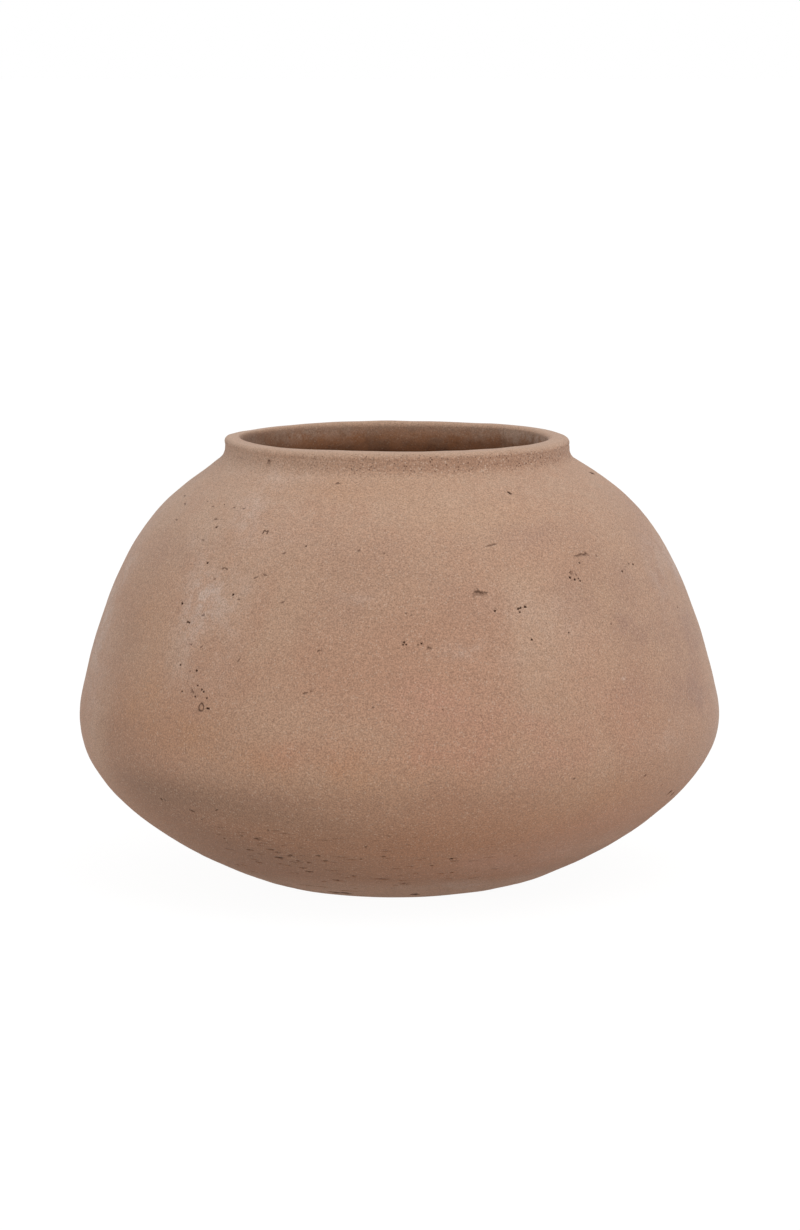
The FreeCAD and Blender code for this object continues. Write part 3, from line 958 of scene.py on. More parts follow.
    def _hidden(self, low: float, high: float) -> Pair:
        """Draw a place on the far side of the pot.

        Args:
            low: Lowest level.
            high: Highest level.

        Returns:
            The place in the unrolled wall.
        """
        turn = self.draw.uniform(*self.HIDDEN_TURNS) * self.draw.choice((-1, 1))
        level = self.draw.uniform(low, high)
        return math.pi / 2 + turn, float(self.skin.section.outside(level))

    def _dash(self, place: Pair, length: float) -> tuple[float, float, float]:
        """Draw the sizes of a tool dent.

        Args:
            place: Its place in the unrolled wall.
            length: Its length in millimetres.

        Returns:
            Length, width and depth in millimetres.
        """
        _, level = self.skin.section.place(np.array(place[1]))
        width = float(np.interp(level, self.DASH_LEVELS, self.DASH_WIDTHS)) * self.draw.uniform(0.9, 1.15)
        return length, width, self.DASH_DEPTH * width

    def seen(self) -> None:
        """Add what the photograph shows."""
        draw, hit = self.draw, self.skin.hit
        for kind, rows in ((MarkKind.GOUGE, self.GOUGES), (MarkKind.PIT, self.CUTS)):
            for pixel, sizes, tilt in rows:
                self._mark(kind, hit(*pixel), sizes, tilt)
        for pixel, width in self.PITS:
            self._pit(hit(*pixel), width, draw.uniform(1.0, 1.35))
        for pixel, length, tilt in self.FLAWS:
            width = draw.uniform(*self.FLAW_WIDTHS)
            self._mark(MarkKind.FLAW, hit(*pixel), (length, width, self.FLAW_DEPTH * width), tilt)
        for pixel, length, tilt, sharp in self.DASHES:
            place = hit(*pixel)
            self._mark(MarkKind.DASH if sharp else MarkKind.FLAW, place, self._dash(place, length), tilt)
        for first, last, count in self.SCORES:
            for _ in range(count):
                place = hit(*draw.uniform(first, last))
                length, width, depth = self._dash(place, draw.uniform(2.5, 10.0))
                self._mark(MarkKind.SCORE, place, (length, 0.8 * width, 0.6 * depth), draw.uniform(-4, 4))
        for kind, rows in ((MarkKind.RING, self.RINGS), (MarkKind.ARCH, self.ARCHES)):
            for pixel, (width, height) in rows:
                self._mark(kind, hit(*pixel), (width, height, self.RING_DEPTH), 0.0)
        for pixel, width, paleness in self.CHIPS:
            self._mark(MarkKind.CHIP, hit(*pixel), (width, width * 0.6, self.CHIP_DEPTH), 0.0)
            self._cloud(Tint.BLOOM, hit(*pixel), (width * 0.5, width * 0.3), paleness)
        for tint, rows in self.CLOUDS.items():
            for pixel, spread, strength in rows:
                self._cloud(tint, hit(*pixel), spread, strength)
        mouth = self.skin.section.station["lip_inside"]
        for tint, rows in ((Tint.HAZE, self.HAZES_AND_LIGHT), (Tint.SMOKE, self.SOOTS_AND_SHADE)):
            for bearing, spread, strength in rows:
                self._cloud(tint, (math.radians(bearing), mouth), spread, strength)

    def unseen(self) -> None:
        """Add seeded marks and clouds of the same kinds on the far side."""
        draw = self.draw
        count, *levels = self.HIDDEN[MarkKind.PIT]
        for _ in range(count):
            width = draw.uniform(1.2, 1.9)
            stretch = draw.uniform(1.0, 1.4)
            self._pit(self._hidden(*levels), width, stretch)
        count, *levels = self.HIDDEN[MarkKind.FLAW]
        for _ in range(count):
            width = draw.uniform(*self.FLAW_WIDTHS)
            place = self._hidden(*levels)
            sizes = (draw.uniform(1.6, 4.0), width, self.FLAW_DEPTH * width)
            self._mark(MarkKind.FLAW, place, sizes, draw.uniform(-30, 30))
        count, *levels = self.HIDDEN[MarkKind.GOUGE]
        for _ in range(count):
            length = draw.uniform(3.4, 10.0)
            place = self._hidden(*levels)
            sizes = (length, draw.uniform(1.4, 2.6), self.HIDDEN_GOUGE_DEPTH)
            self._mark(MarkKind.GOUGE, place, sizes, draw.uniform(-18, 18))
        count, *levels = self.HIDDEN[MarkKind.DASH]
        for step in range(count):
            kind = MarkKind.FLAW if step % 3 else MarkKind.DASH
            place = self._hidden(*levels)
            self._mark(kind, place, self._dash(place, draw.uniform(2.8, 8.0)), draw.uniform(-5, 5))
        tints = [tint for tint in Tint if tint not in (Tint.UMBER, Tint.HAZE)]
        for step in range(self.HIDDEN_CLOUDS):
            tint = tints[step % len(tints)]
            levels = self.SMOKE_LEVELS if tint is Tint.SMOKE else self.CLOUD_LEVELS
            spread = (draw.uniform(22, 70), draw.uniform(12, 34))
            self._cloud(tint, self._hidden(*levels), spread, draw.uniform(0.2, 0.5))


@dataclass(frozen=True)
class Seam:
    """Joint between two courses: its level, and the groove and tongue in the middle of the wall."""

    level: float
    middle: float
    groove: float
    depth: float
    gap: float
    tongued: bool

    @classmethod
    def of(cls, ring: str, sizes: WallSizes) -> "Seam":
        """Read a seam off its slip ring.

        Args:
            ring: Node of the slip ring.
            sizes: Sizes of the half section.

        Returns:
            The seam.
        """
        low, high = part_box(ring)
        flat = ring == "base_slip_ring"
        width = sizes.wall if flat else sizes.groove_width
        return cls(high.z, high.x - width / 2, width / 2, high.z - low.z, sizes.slip_gap, not flat)

    def grooved(self) -> list[Pair]:
        """Corners of the lower course's top, from its outer to its inner edge."""
        outer, inner, floor = self.middle + self.groove, self.middle - self.groove, self.level - self.depth
        return [(outer, self.level), (outer, floor), (inner, floor), (inner, self.level)]

    def tongue(self) -> list[Pair]:
        """Corners of the upper course's bottom, from the middle of the seam outwards.

        Returns:
            The radius and level of each corner.
        """
        if not self.tongued:
            return [(self.middle, self.level)]
        reach, floor = self.groove - self.gap, self.level - self.depth + self.gap
        return [(self.middle, floor), (self.middle + reach, floor), (self.middle + reach, self.level)]

    def mirrored(self) -> list[Pair]:
        """Corners of the upper course's bottom, from its inner edge to the middle of the seam."""
        return [(2 * self.middle - radius, level) for radius, level in reversed(self.tongue())]


class Rows:
    """Rows of one course's closed outline. Those on the skin have a length along the section, others none."""

    FLAT_STEP = 5.0 * MM
    FOOT_STEP = 1.0 * MM
    WALL_STEP = 2.2 * MM
    LIP_STEP = 0.6 * MM
    THROAT_STEP = 1.8 * MM
    INNER_STEP = 4.0 * MM

    def __init__(self, section: Section) -> None:
        """Start with no rows.

        Args:
            section: Half section of the wall.
        """
        self.section = section
        self.found: list[tuple[float, float, float]] = []

    def corner(self, spots: list[Pair]) -> None:
        """Add hidden rows at radii and levels."""
        self.found += [(math.nan, radius, level) for radius, level in spots]

    def skin(self, start: float, end: float) -> None:
        """Add rows of the skin, closer where it bends.

        Args:
            start: Length along the section of the first row.
            end: Length along the section of the last row.
        """
        places = [start]
        while places[-1] < end:
            places.append(places[-1] + self._step(places[-1]))
        line = start + (np.array(places) - start) * (end - start) / (places[-1] - start)
        self.found += zip(line, *self.section.place(line))

    def _step(self, s: float) -> float:
        """Spacing of the rows.

        Args:
            s: Length along the section.

        Returns:
            The distance to the next row.
        """
        station = self.section.station
        if s < station["foot_edge"] - 4 * MM or s > station["floor_edge"]:
            return self.FLAT_STEP
        if s < station["foot_turn"] + 6 * MM:
            return self.FOOT_STEP
        if s < station["collar_foot"] - 10 * MM:
            return self.WALL_STEP
        if s < station["lip_inside"] + 3 * MM:
            return self.LIP_STEP
        return self.THROAT_STEP if s < station["throat"] + 20 * MM else self.INNER_STEP


def read(items: bpy.types.bpy_prop_collection, name: str, kind: type, wide: int = 1) -> Array:
    """Read one property of all the vertices, edges, corners or faces of a mesh.

    Args:
        items: Collection of the mesh.
        name: Name of the property.
        kind: Type of its numbers.
        wide: How many numbers each item has.

    Returns:
        The numbers of all the items in one row.
    """
    values = np.zeros(len(items) * wide, kind)
    items.foreach_get(name, values)
    return values


@dataclass
class Course:
    """One clay course of the wall, built as a closed turned mesh that stands for its node.

    The mesh starts as a flat sheet of columns round the pot and rows of the outline. The sheet is cut finer
    round each mark, then rolled up and closed.
    """

    node: str
    skin: FiredSkin
    below: Seam | None
    above: Seam | None
    columns: int = 768
    cuts: int = 4
    start_turn: float = math.pi / 2
    mark_margin: float = 0.8 * MM
    normal_probe: float = 0.4 * MM
    # Share of the radius, and number of vertices, at which the rings of a disc thin out and end
    disc_ratio: float = 0.66
    disc_hub: int = 28
    # Shares of the underside and the floor that rows take, before the discs
    underside: float = 0.75
    floor: float = 0.3

    # Part of a row that counts as none
    TINY = 1e-4

    def __post_init__(self) -> None:
        """Lay the outline out, and find the rows at its corners, hidden ones and those beside them."""
        self.lengths, self.radii, self.levels = np.array(self._outline()).T
        hidden = ~np.isfinite(self.lengths)
        beside = hidden.copy()
        beside[1:] |= hidden[:-1]
        beside[:-1] |= hidden[1:]
        self.corner_rows = np.flatnonzero(beside)

    def _theta(self, column: Array) -> Array:
        """Angles round the axis at columns of the sheet."""
        return self.start_turn + column * (TURN / self.columns)

    def _outline(self) -> list[tuple[float, float, float]]:
        """Rows of the outline, from the middle of the seam below, or of the underside, and round.

        Returns:
            The length along the section, the radius and the level of each row.
        """
        section, station = self.skin.section, self.skin.section.station
        rows = Rows(section)
        if self.below:
            rows.corner(self.below.tongue())
            start = float(section.outside(self.below.level))
        else:
            start = self.underside * station["foot_edge"]
        if self.above:
            rows.skin(start, float(section.outside(self.above.level)))
            rows.corner(self.above.grooved())
            start = section.inside(self.above.level) if self.below else station["floor_edge"]
        if self.below:
            base = self.below.level
            flat = base <= section.sizes.slab + 0.1 * MM
            rows.skin(start, station["floor_edge"] if flat else section.inside(base))
            rows.corner(self.below.mirrored())
        else:
            rows.skin(start, start + self.floor * (station["floor_middle"] - start))
        return rows.found

    def build(self) -> bpy.types.Object:
        """Make the course's mesh, with its vertex layers and its seam normals.

        Returns:
            The new object, in the scene.
        """
        column, rank, corners, starts = self._sheet()
        theta = self._theta(column)
        points, layers = self._lay(theta, rank)
        keep, where = self._weld(len(points))
        points, theta, rank = points[keep], theta[keep], rank[keep]
        layers = {name: values[keep] for name, values in layers.items()}
        corners = where[corners]
        if not self.below:
            points, layers, corners, starts = self._close(points, layers, corners, starts)
            spare = len(points) - len(rank)
            theta = np.concatenate((theta, np.zeros(spare)))
            rank = np.concatenate((rank, np.full(spare, -1.0)))
        mesh = self._mesh(points, corners, starts)
        for name, values in layers.items():
            layer = mesh.attributes.new(name, "FLOAT", "POINT")
            layer.data.foreach_set("value", values.astype(np.float32))
        self._edges(mesh, rank)
        self._normals(mesh, theta, rank)
        return put(f"clay_{self.node}", mesh)

    def _sheet(self) -> tuple[Array, Array, Array, Array]:
        """Unrolled sheet of the outline, cut finer round each mark.

        Returns:
            Column and row of each vertex, the corners of the faces, and each face's first corner.
        """
        wide, high = self.columns + 1, len(self.lengths)
        column, rank = np.meshgrid(np.arange(wide, dtype=float), np.arange(high, dtype=float))
        first = (np.arange(high - 1)[:, None] * wide + np.arange(wide - 1)[None, :]).ravel()
        corners = np.stack((first, first + 1, first + 1 + wide, first + wide), axis=1)
        flat = np.stack((column.ravel(), rank.ravel(), np.zeros(wide * high)), axis=1)
        mesh = self._mesh(flat, corners.ravel(), np.arange(len(corners)) * 4)
        plane = bmesh.new()
        plane.from_mesh(mesh)
        plane.faces.ensure_lookup_table()
        chosen = self._near_marks(flat[corners].mean(axis=1))
        edges = {edge for index in chosen for edge in plane.faces[index].edges}
        ordered = sorted(edges, key=lambda edge: edge.index)
        bmesh.ops.subdivide_edges(plane, edges=ordered, cuts=self.cuts, use_grid_fill=True)
        plane.to_mesh(mesh)
        plane.free()
        spots = read(mesh.vertices, "co", np.float32, 3).reshape(-1, 3).astype(float)
        loops = read(mesh.loops, "vertex_index", np.int32)
        starts = read(mesh.polygons, "loop_start", np.int32)
        bpy.data.meshes.remove(mesh)
        return spots[:, 0], spots[:, 1], loops, starts

    def _near_marks(self, middle: Array) -> list[int]:
        """Find the faces of the sheet that a mark touches.

        Args:
            middle: Column and row of the middle of each face.

        Returns:
            The faces, in order.
        """
        theta = self._theta(middle[:, 0])
        low = np.floor(middle[:, 1]).astype(int)
        s = (self.lengths[low] + self.lengths[low + 1]) / 2
        chosen: set[int] = set()
        for mark in self.skin.marks:
            close = np.flatnonzero(np.abs(s - mark.along) < mark.reach + 1.0 * MM)
            along, up = mark.local(theta[close], s[close])
            near = np.abs(along) < 0.6 * mark.length + self.mark_margin
            near &= np.abs(up) < 0.6 * mark.width + self.mark_margin
            chosen.update(int(index) for index in close[near])
        return sorted(chosen)

    def _lay(self, theta: Array, rank: Array) -> tuple[Array, dict]:
        """Roll the sheet up.

        Args:
            theta: Angle of each vertex.
            rank: Row of each vertex, which has a fraction between two rows.

        Returns:
            The points, and the vertex layers by name.
        """
        lengths, radii, levels = self.lengths, self.radii, self.levels
        low = np.clip(np.floor(rank + self.TINY).astype(int), 0, len(lengths) - 2)
        share = np.clip(rank - low, 0.0, 1.0)
        share[share < self.TINY] = 0.0
        share[share > 1 - self.TINY] = 1.0
        points = np.zeros((len(rank), 3))
        layers = {name: np.zeros(len(rank)) for name in FiredSkin.LAYERS}
        both = np.isfinite(lengths[low]) & np.isfinite(lengths[low + 1])
        s = lengths[low] * (1 - share) + lengths[low + 1] * share
        made, found = self.skin.surface(theta[both], s[both])
        points[both] = made
        for name, values in found.items():
            layers[name][both] = values
        for row, weight in ((low, 1.0 - share), (low + 1, share)):
            part = ~both & (weight > 0)
            on_skin = part & np.isfinite(lengths[row])
            made, found = self.skin.surface(theta[on_skin], lengths[row[on_skin]])
            points[on_skin] += made * weight[on_skin][:, None]
            for name, values in found.items():
                layers[name][on_skin] += values * weight[on_skin]
            buried = part & ~np.isfinite(lengths[row])
            radius, level, turn = radii[row[buried]], levels[row[buried]], theta[buried]
            turned = np.stack((radius * np.cos(turn), radius * np.sin(turn), level), axis=1)
            points[buried] += turned * weight[buried][:, None]
        return points, layers

    def _weld(self, count: int) -> tuple[Array, Array]:
        """Join the sheet's last column to its first, and its last row to its first where the outline closes.

        Args:
            count: Number of vertices.

        Returns:
            The vertices that stay, and for each vertex the one that stands for it.
        """
        wide, high = self.columns + 1, len(self.lengths)
        target = np.arange(count)
        if self.below:
            target[(high - 1) * wide:high * wide] = np.arange(wide)
        ends = np.arange(high) * wide
        target[ends + wide - 1] = target[ends]
        keep = np.flatnonzero(target == np.arange(count))
        place = np.full(count, -1)
        place[keep] = np.arange(len(keep))
        return keep, place[target]

    def _disc(self, ring: Array, radius: float, level: float, count: int) -> tuple[Array, list]:
        """Fill a ring of vertices with rings that thin out towards the middle.

        Args:
            ring: Vertices of the ring.
            radius: Its radius.
            level: Its level.
            count: Number of vertices so far.

        Returns:
            The new points, and the faces, which look up.
        """
        points, faces = [], []
        while len(ring) > self.disc_hub and len(ring) % 2 == 0:
            radius *= self.disc_ratio
            half = len(ring) // 2
            theta = self.start_turn + np.arange(half) * (TURN / half)
            flat = np.full(half, level)
            points.append(np.stack((radius * np.cos(theta), radius * np.sin(theta), flat), axis=1))
            inner = count + np.arange(half)
            for step in range(half):
                a, b, c = ring[2 * step], ring[2 * step + 1], ring[(2 * step + 2) % len(ring)]
                d, e = inner[step], inner[(step + 1) % half]
                faces += [(a, b, d), (b, e, d), (b, c, e)]
            count += half
            ring = inner
        points.append(np.array([[0.0, 0.0, level]]))
        faces += [(ring[step], ring[(step + 1) % len(ring)], count) for step in range(len(ring))]
        return np.concatenate(points), faces

    def _close(self, points: Array, layers: Layers, corners: Array,
               starts: Array) -> tuple[Array, dict, Array, Array]:
        """Close the slab's underside and its floor with discs.

        Args:
            points: Points of the mesh.
            layers: Vertex layers.
            corners: Corners of the faces.
            starts: First corner of each face.

        Returns:
            The same four, with the discs added.
        """
        count, ring = len(points), np.arange(self.columns)
        under, down = self._disc(ring, self.radii[0], self.levels[0], count)
        ring = ring + (len(self.lengths) - 1) * self.columns
        floor, up = self._disc(ring, self.radii[-1], self.levels[-1], count + len(under))
        added = np.array([face[::-1] for face in down] + up)
        points = np.concatenate((points, under, floor))
        spare = np.zeros(len(points) - count)
        layers = {name: np.concatenate((values, spare)) for name, values in layers.items()}
        layers["inside"][-len(floor):] = 1.0
        starts = np.concatenate((starts, len(corners) + 3 * np.arange(len(added))))
        return points, layers, np.concatenate((corners, added.ravel())), starts

    def _mesh(self, points: Array, corners: Array, starts: Array) -> bpy.types.Mesh:
        """Make a mesh.

        Args:
            points: Points of the mesh.
            corners: Corners of the faces.
            starts: First corner of each face.

        Returns:
            The mesh.
        """
        mesh = bpy.data.meshes.new(f"clay_{self.node}")
        mesh.vertices.add(len(points))
        mesh.vertices.foreach_set("co", points.astype(np.float32).ravel())
        mesh.loops.add(len(corners))
        mesh.loops.foreach_set("vertex_index", corners.astype(np.int32))
        mesh.polygons.add(len(starts))
        mesh.polygons.foreach_set("loop_start", starts.astype(np.int32))
        mesh.update(calc_edges=True)
        mesh.validate()
        mesh.shade_smooth()
        return mesh

    def _edges(self, mesh: bpy.types.Mesh, rank: Array) -> None:
        """Mark the edges along the seam corners as sharp.

        Args:
            mesh: Mesh of the course.
            rank: Row of each vertex.
        """
        first, last = rank[read(mesh.edges, "vertices", np.int32, 2).reshape(-1, 2)].T
        whole = np.round(first)
        level = (np.abs(first - last) < self.TINY) & (np.abs(first - whole) < self.TINY)
        sharp = level & np.isin(whole, self.corner_rows)
        layer = mesh.attributes.new("sharp_edge", "BOOLEAN", "EDGE")
        layer.data.foreach_set("value", sharp)

    def _normals(self, mesh: bpy.types.Mesh, theta: Array, rank: Array) -> None:
        """Give the skin the same normals on both sides of a seam, so that it reads as one wall.

        Args:
            mesh: Mesh of the course.
            theta: Angle of each vertex.
            rank: Row of each vertex.
        """
        surface, small, lengths = self.skin.surface, self.normal_probe, self.lengths
        finite = np.isfinite(lengths)
        whole = np.round(rank).astype(int)
        between = np.abs(rank - whole) > self.TINY
        seam_rows = np.intersect1d(self.corner_rows, np.flatnonzero(finite))
        index = np.flatnonzero(np.isin(whole, seam_rows) & ~between)
        s, turn = lengths[whole[index]], theta[index]
        radius, _ = self.skin.section.place(s)
        swing = small / np.maximum(radius, 1 * MM)
        round_way = surface(turn + swing, s)[0] - surface(turn - swing, s)[0]
        up_way = surface(turn, s + small)[0] - surface(turn, s - small)[0]
        normal = np.cross(round_way, up_way)
        wanted = np.zeros((len(rank), 3))
        wanted[index] = normal / np.linalg.norm(normal, axis=1)[:, None]

        loops = read(mesh.loops, "vertex_index", np.int32)
        totals = read(mesh.polygons, "loop_total", np.int32)
        face = np.repeat(np.arange(len(totals)), totals)
        hidden = ~finite[np.clip(whole, 0, len(lengths) - 1)] & (rank >= 0)
        low = np.clip(np.floor(rank).astype(int), 0, len(lengths) - 2)
        hidden |= between & ~(finite[low] & finite[low + 1])
        buried = np.zeros(len(totals), bool)
        np.logical_or.at(buried, face, hidden[loops])
        corner_normals = wanted[loops]
        corner_normals[buried[face]] = 0.0
        mesh.normals_split_custom_set([tuple(normal) for normal in corner_normals])


class Nodes:
    """Short hand for laying out one node tree. A value is a number, a colour or a socket to link."""

    def __init__(self, tree: bpy.types.NodeTree) -> None:
        """Take a tree."""
        self.tree = tree

    @classmethod
    def material(cls, name: str) -> tuple[bpy.types.Material, "Nodes", bpy.types.Node]:
        """Start a material.

        Args:
            name: Name of the material.

        Returns:
            The material, its nodes and its shader.
        """
        made = bpy.data.materials.new(name)
        made.use_nodes = True
        return made, cls(made.node_tree), made.node_tree.nodes["Principled BSDF"]

    def feed(self, socket: Socket, value: object) -> None:
        """Link a socket to another, or set its value.

        Args:
            socket: Input to feed.
            value: Value for it.
        """
        if isinstance(value, Socket):
            self.tree.links.new(value, socket)
        else:
            socket.default_value = value

    def inputs(self, node: bpy.types.Node, **values: object) -> None:
        """Feed a node's inputs by name, with spaces as underscores."""
        for name, value in values.items():
            self.feed(node.inputs[name.replace("_", " ")], value)

    def add(self, kind: str, **values: object) -> bpy.types.Node:
        """Add a node, setting its properties and its inputs by name.

        Args:
            kind: Blender's type of the node.
            **values: Properties, or inputs with spaces as underscores.

        Returns:
            The node.
        """
        node = self.tree.nodes.new(kind)
        own = {name: value for name, value in values.items() if hasattr(node, name)}
        for name, value in own.items():
            setattr(node, name, value)
        self.inputs(node, **{name: value for name, value in values.items() if name not in own})
        return node

    def math(self, operation: str, *values: object, clamp: bool = False) -> Socket:
        """Result of one sum.

        Args:
            operation: Blender's name of the sum.
            *values: Its values in order.
            clamp: Whether to keep the result from 0 to 1.

        Returns:
            The result's socket.
        """
        node = self.add("ShaderNodeMath", operation=operation, use_clamp=clamp)
        for socket, value in zip(node.inputs, values):
            self.feed(socket, value)
        return node.outputs[0]

    def ramp(self, value: object, low: float, high: float, to_low: float = 0.0,
             to_high: float = 1.0) -> Socket:
        """Ease a value from one range to another.

        Args:
            value: Value to ease.
            low: Value at which the ease starts.
            high: Value at which it ends.
            to_low: Result at the start.
            to_high: Result at the end.

        Returns:
            The result's socket.
        """
        node = self.add("ShaderNodeMapRange", interpolation_type="SMOOTHSTEP")
        for socket, part in zip(node.inputs, (value, low, high, to_low, to_high)):
            self.feed(socket, part)
        return node.outputs[0]

    def mix(self, share: object, first: object, second: object, blend: str = "MIX") -> Socket:
        """Mix two colours.

        Args:
            share: Share of the second colour.
            first: First colour.
            second: Second colour.
            blend: Blender's name of the way to mix.

        Returns:
            The result's socket.
        """
        node = self.add("ShaderNodeMix", data_type="RGBA", blend_type=blend)
        for index, value in ((0, share), (6, first), (7, second)):
            self.feed(node.inputs[index], value)
        return node.outputs[2]

    def layer(self, name: str) -> Socket:
        """Value of a vertex layer."""
        return self.add("ShaderNodeAttribute", attribute_name=name).outputs["Fac"]

    def effect(self, group: bpy.types.NodeTree, place: Socket,
               **values: object) -> bpy.types.bpy_prop_collection:
        """Place a shared node group on the surface.

        Args:
            group: Node group.
            place: Coordinates of the surface.
            **values: Inputs of the group.

        Returns:
            The outputs of the group.
        """
        node = self.add("ShaderNodeGroup", node_tree=group)
        self.inputs(node, Vector=place, **values)
        return node.outputs


class ClayEffects:
    """Node groups that the clay finishes share, each built once."""

    def __init__(self) -> None:
        """Build the groups."""
        self.grain = self._grain()
        self.clouds = self._clouds()
        self.bloom = self._bloom()
        self.scores = self._scores()
        self.pores = self._pores()

    @staticmethod
    def _group(name: str, inputs: dict[str, float], outputs: tuple[str, ...]) -> tuple:
        """Start a group that takes the place on the surface and some numbers.

        Args:
            name: Name of the group.
            inputs: Names of its numbers with their values.
            outputs: Names of its outputs, all values.

        Returns:
            The group's nodes, its output node, and its inputs in order, the place first.
        """
        tree = bpy.data.node_groups.new(name, "ShaderNodeTree")
        tree.interface.new_socket(name="Vector", in_out="INPUT", socket_type="NodeSocketVector")
        for label, value in inputs.items():
            socket = tree.interface.new_socket(name=label, in_out="INPUT", socket_type="NodeSocketFloat")
            socket.default_value = value
        for label in outputs:
            tree.interface.new_socket(name=label, in_out="OUTPUT", socket_type="NodeSocketFloat")
        nodes = Nodes(tree)
        given = nodes.add("NodeGroupInput").outputs[:len(inputs) + 1]
        return nodes, nodes.add("NodeGroupOutput"), *given

    def _grain(self) -> bpy.types.NodeTree:
        """Sandy grain: its tone, pale and dark grains, and its height.

        Returns:
            The group.
        """
        outputs = ("Tone", "Pale", "Dark", "Height")
        nodes, result, vector, size = self._group("sandy_grain", {"Size": 1 * MM}, outputs)
        scale = nodes.math("DIVIDE", 1.0, size)
        fine = nodes.add("ShaderNodeTexNoise", Vector=vector, Scale=scale, Detail=2.5, Roughness=0.62)
        sand = nodes.add("ShaderNodeTexVoronoi", Vector=vector, Scale=nodes.math("MULTIPLY", scale, 0.8))
        split = nodes.add("ShaderNodeSeparateColor", Color=sand.outputs["Color"])
        body = nodes.ramp(sand.outputs["Distance"], 0.62, 0.2)
        pale = nodes.math("MULTIPLY", nodes.ramp(split.outputs[0], 0.72, 0.94), body)
        dark = nodes.math("MULTIPLY", nodes.ramp(split.outputs[1], 0.78, 0.95), body)
        tone = nodes.ramp(fine.outputs[0], 0.25, 0.75)
        raised = nodes.math("MULTIPLY_ADD", pale, 0.5, tone)
        height = nodes.math("MULTIPLY_ADD", dark, -0.5, raised)
        nodes.inputs(result, Tone=tone, Pale=pale, Dark=dark, Height=height)
        return nodes.tree

    def _clouds(self) -> bpy.types.NodeTree:
        """Drift of the kiln's heat: broad clouds, and small flecks inside them.

        Returns:
            The group.
        """
        nodes, result, vector, size = self._group("kiln_clouds", {"Size": 100 * MM}, ("Broad", "Fleck"))
        scale = nodes.math("DIVIDE", 1.0, size)
        broad = nodes.add("ShaderNodeTexNoise", Vector=vector, Scale=scale, Detail=4.0, Roughness=0.55,
                          Distortion=0.6)
        small = nodes.add("ShaderNodeTexNoise", Vector=vector, Scale=nodes.math("MULTIPLY", scale, 9.0),
                          Detail=5.0, Roughness=0.68)
        nodes.inputs(result, Broad=nodes.ramp(broad.outputs[0], 0.32, 0.68),
                     Fleck=nodes.ramp(small.outputs[0], 0.3, 0.7))
        return nodes.tree

    def _bloom(self) -> bpy.types.NodeTree:
        """Chalky bloom of lime: breaks an amount up into patches and crusts, over a thin veil.

        Returns:
            The group.
        """
        values = {"Amount": 0.0, "Veil": 0.3}
        nodes, result, vector, amount, veil = self._group("lime_bloom", values, ("Mask",))
        patch = nodes.add("ShaderNodeTexNoise", Vector=vector, Scale=95.0, Detail=6.0, Roughness=0.7,
                          Distortion=0.4)
        crust = nodes.add("ShaderNodeTexNoise", Vector=vector, Scale=480.0, Detail=3.0, Roughness=0.6)
        broken = nodes.math("MULTIPLY_ADD", crust.outputs[0], 0.35, patch.outputs[0])
        shown = nodes.math("MULTIPLY", nodes.ramp(broken, 0.54, 0.82), amount)
        veiled = nodes.math("MULTIPLY_ADD", amount, veil, shown)
        nodes.inputs(result, Mask=nodes.math("MINIMUM", veiled, 1.0))
        return nodes.tree

    def _scores(self) -> bpy.types.NodeTree:
        """Fine level lines that the turning tool and the sponge left.

        Returns:
            The group.
        """
        nodes, result, vector, pitch = self._group("turning_lines", {"Pitch": 1.6 * MM}, ("Line",))
        squeeze = nodes.add("ShaderNodeCombineXYZ", X=14.0, Y=14.0, Z=nodes.math("DIVIDE", 1.0, pitch))
        stretch = nodes.add("ShaderNodeVectorMath", operation="MULTIPLY")
        nodes.feed(stretch.inputs[0], vector)
        nodes.feed(stretch.inputs[1], squeeze.outputs[0])
        line = nodes.add("ShaderNodeTexNoise", Vector=stretch.outputs[0], Scale=1.0, Detail=3.0,
                         Roughness=0.6)
        nodes.inputs(result, Line=nodes.ramp(line.outputs[0], 0.3, 0.7))
        return nodes.tree

    def _pores(self) -> bpy.types.NodeTree:
        """Scattered pinholes, in a share of the cells of the given spacing.

        Returns:
            The group.
        """
        sizes = {"Spacing": 6 * MM, "Share": 0.25}
        nodes, result, vector, spacing, share = self._group("pinholes", sizes, ("Hole",))
        cells = nodes.add("ShaderNodeTexVoronoi", Vector=vector, Scale=nodes.math("DIVIDE", 1.0, spacing))
        split = nodes.add("ShaderNodeSeparateColor", Color=cells.outputs["Color"])
        held = nodes.math("LESS_THAN", split.outputs[0], share)
        wide = nodes.math("MULTIPLY_ADD", split.outputs[1], 0.06, 0.03)
        far = nodes.math("DIVIDE", cells.outputs["Distance"], wide)
        deep = nodes.math("SUBTRACT", 1.0, far, clamp=True)
        nodes.inputs(result, Hole=nodes.math("MULTIPLY", held, nodes.math("POWER", deep, 0.6)))
        return nodes.tree


@dataclass(frozen=True)
class Wash:
    """Colour that comes in over the wall between two levels, up to a share."""

    colour: Colour
    start: float
    end: float
    share: float

    def amount(self, nodes: Nodes, level: Socket) -> Socket:
        """Share of the colour at a level."""
        return nodes.ramp(level, self.start, self.end, 0.0, self.share)


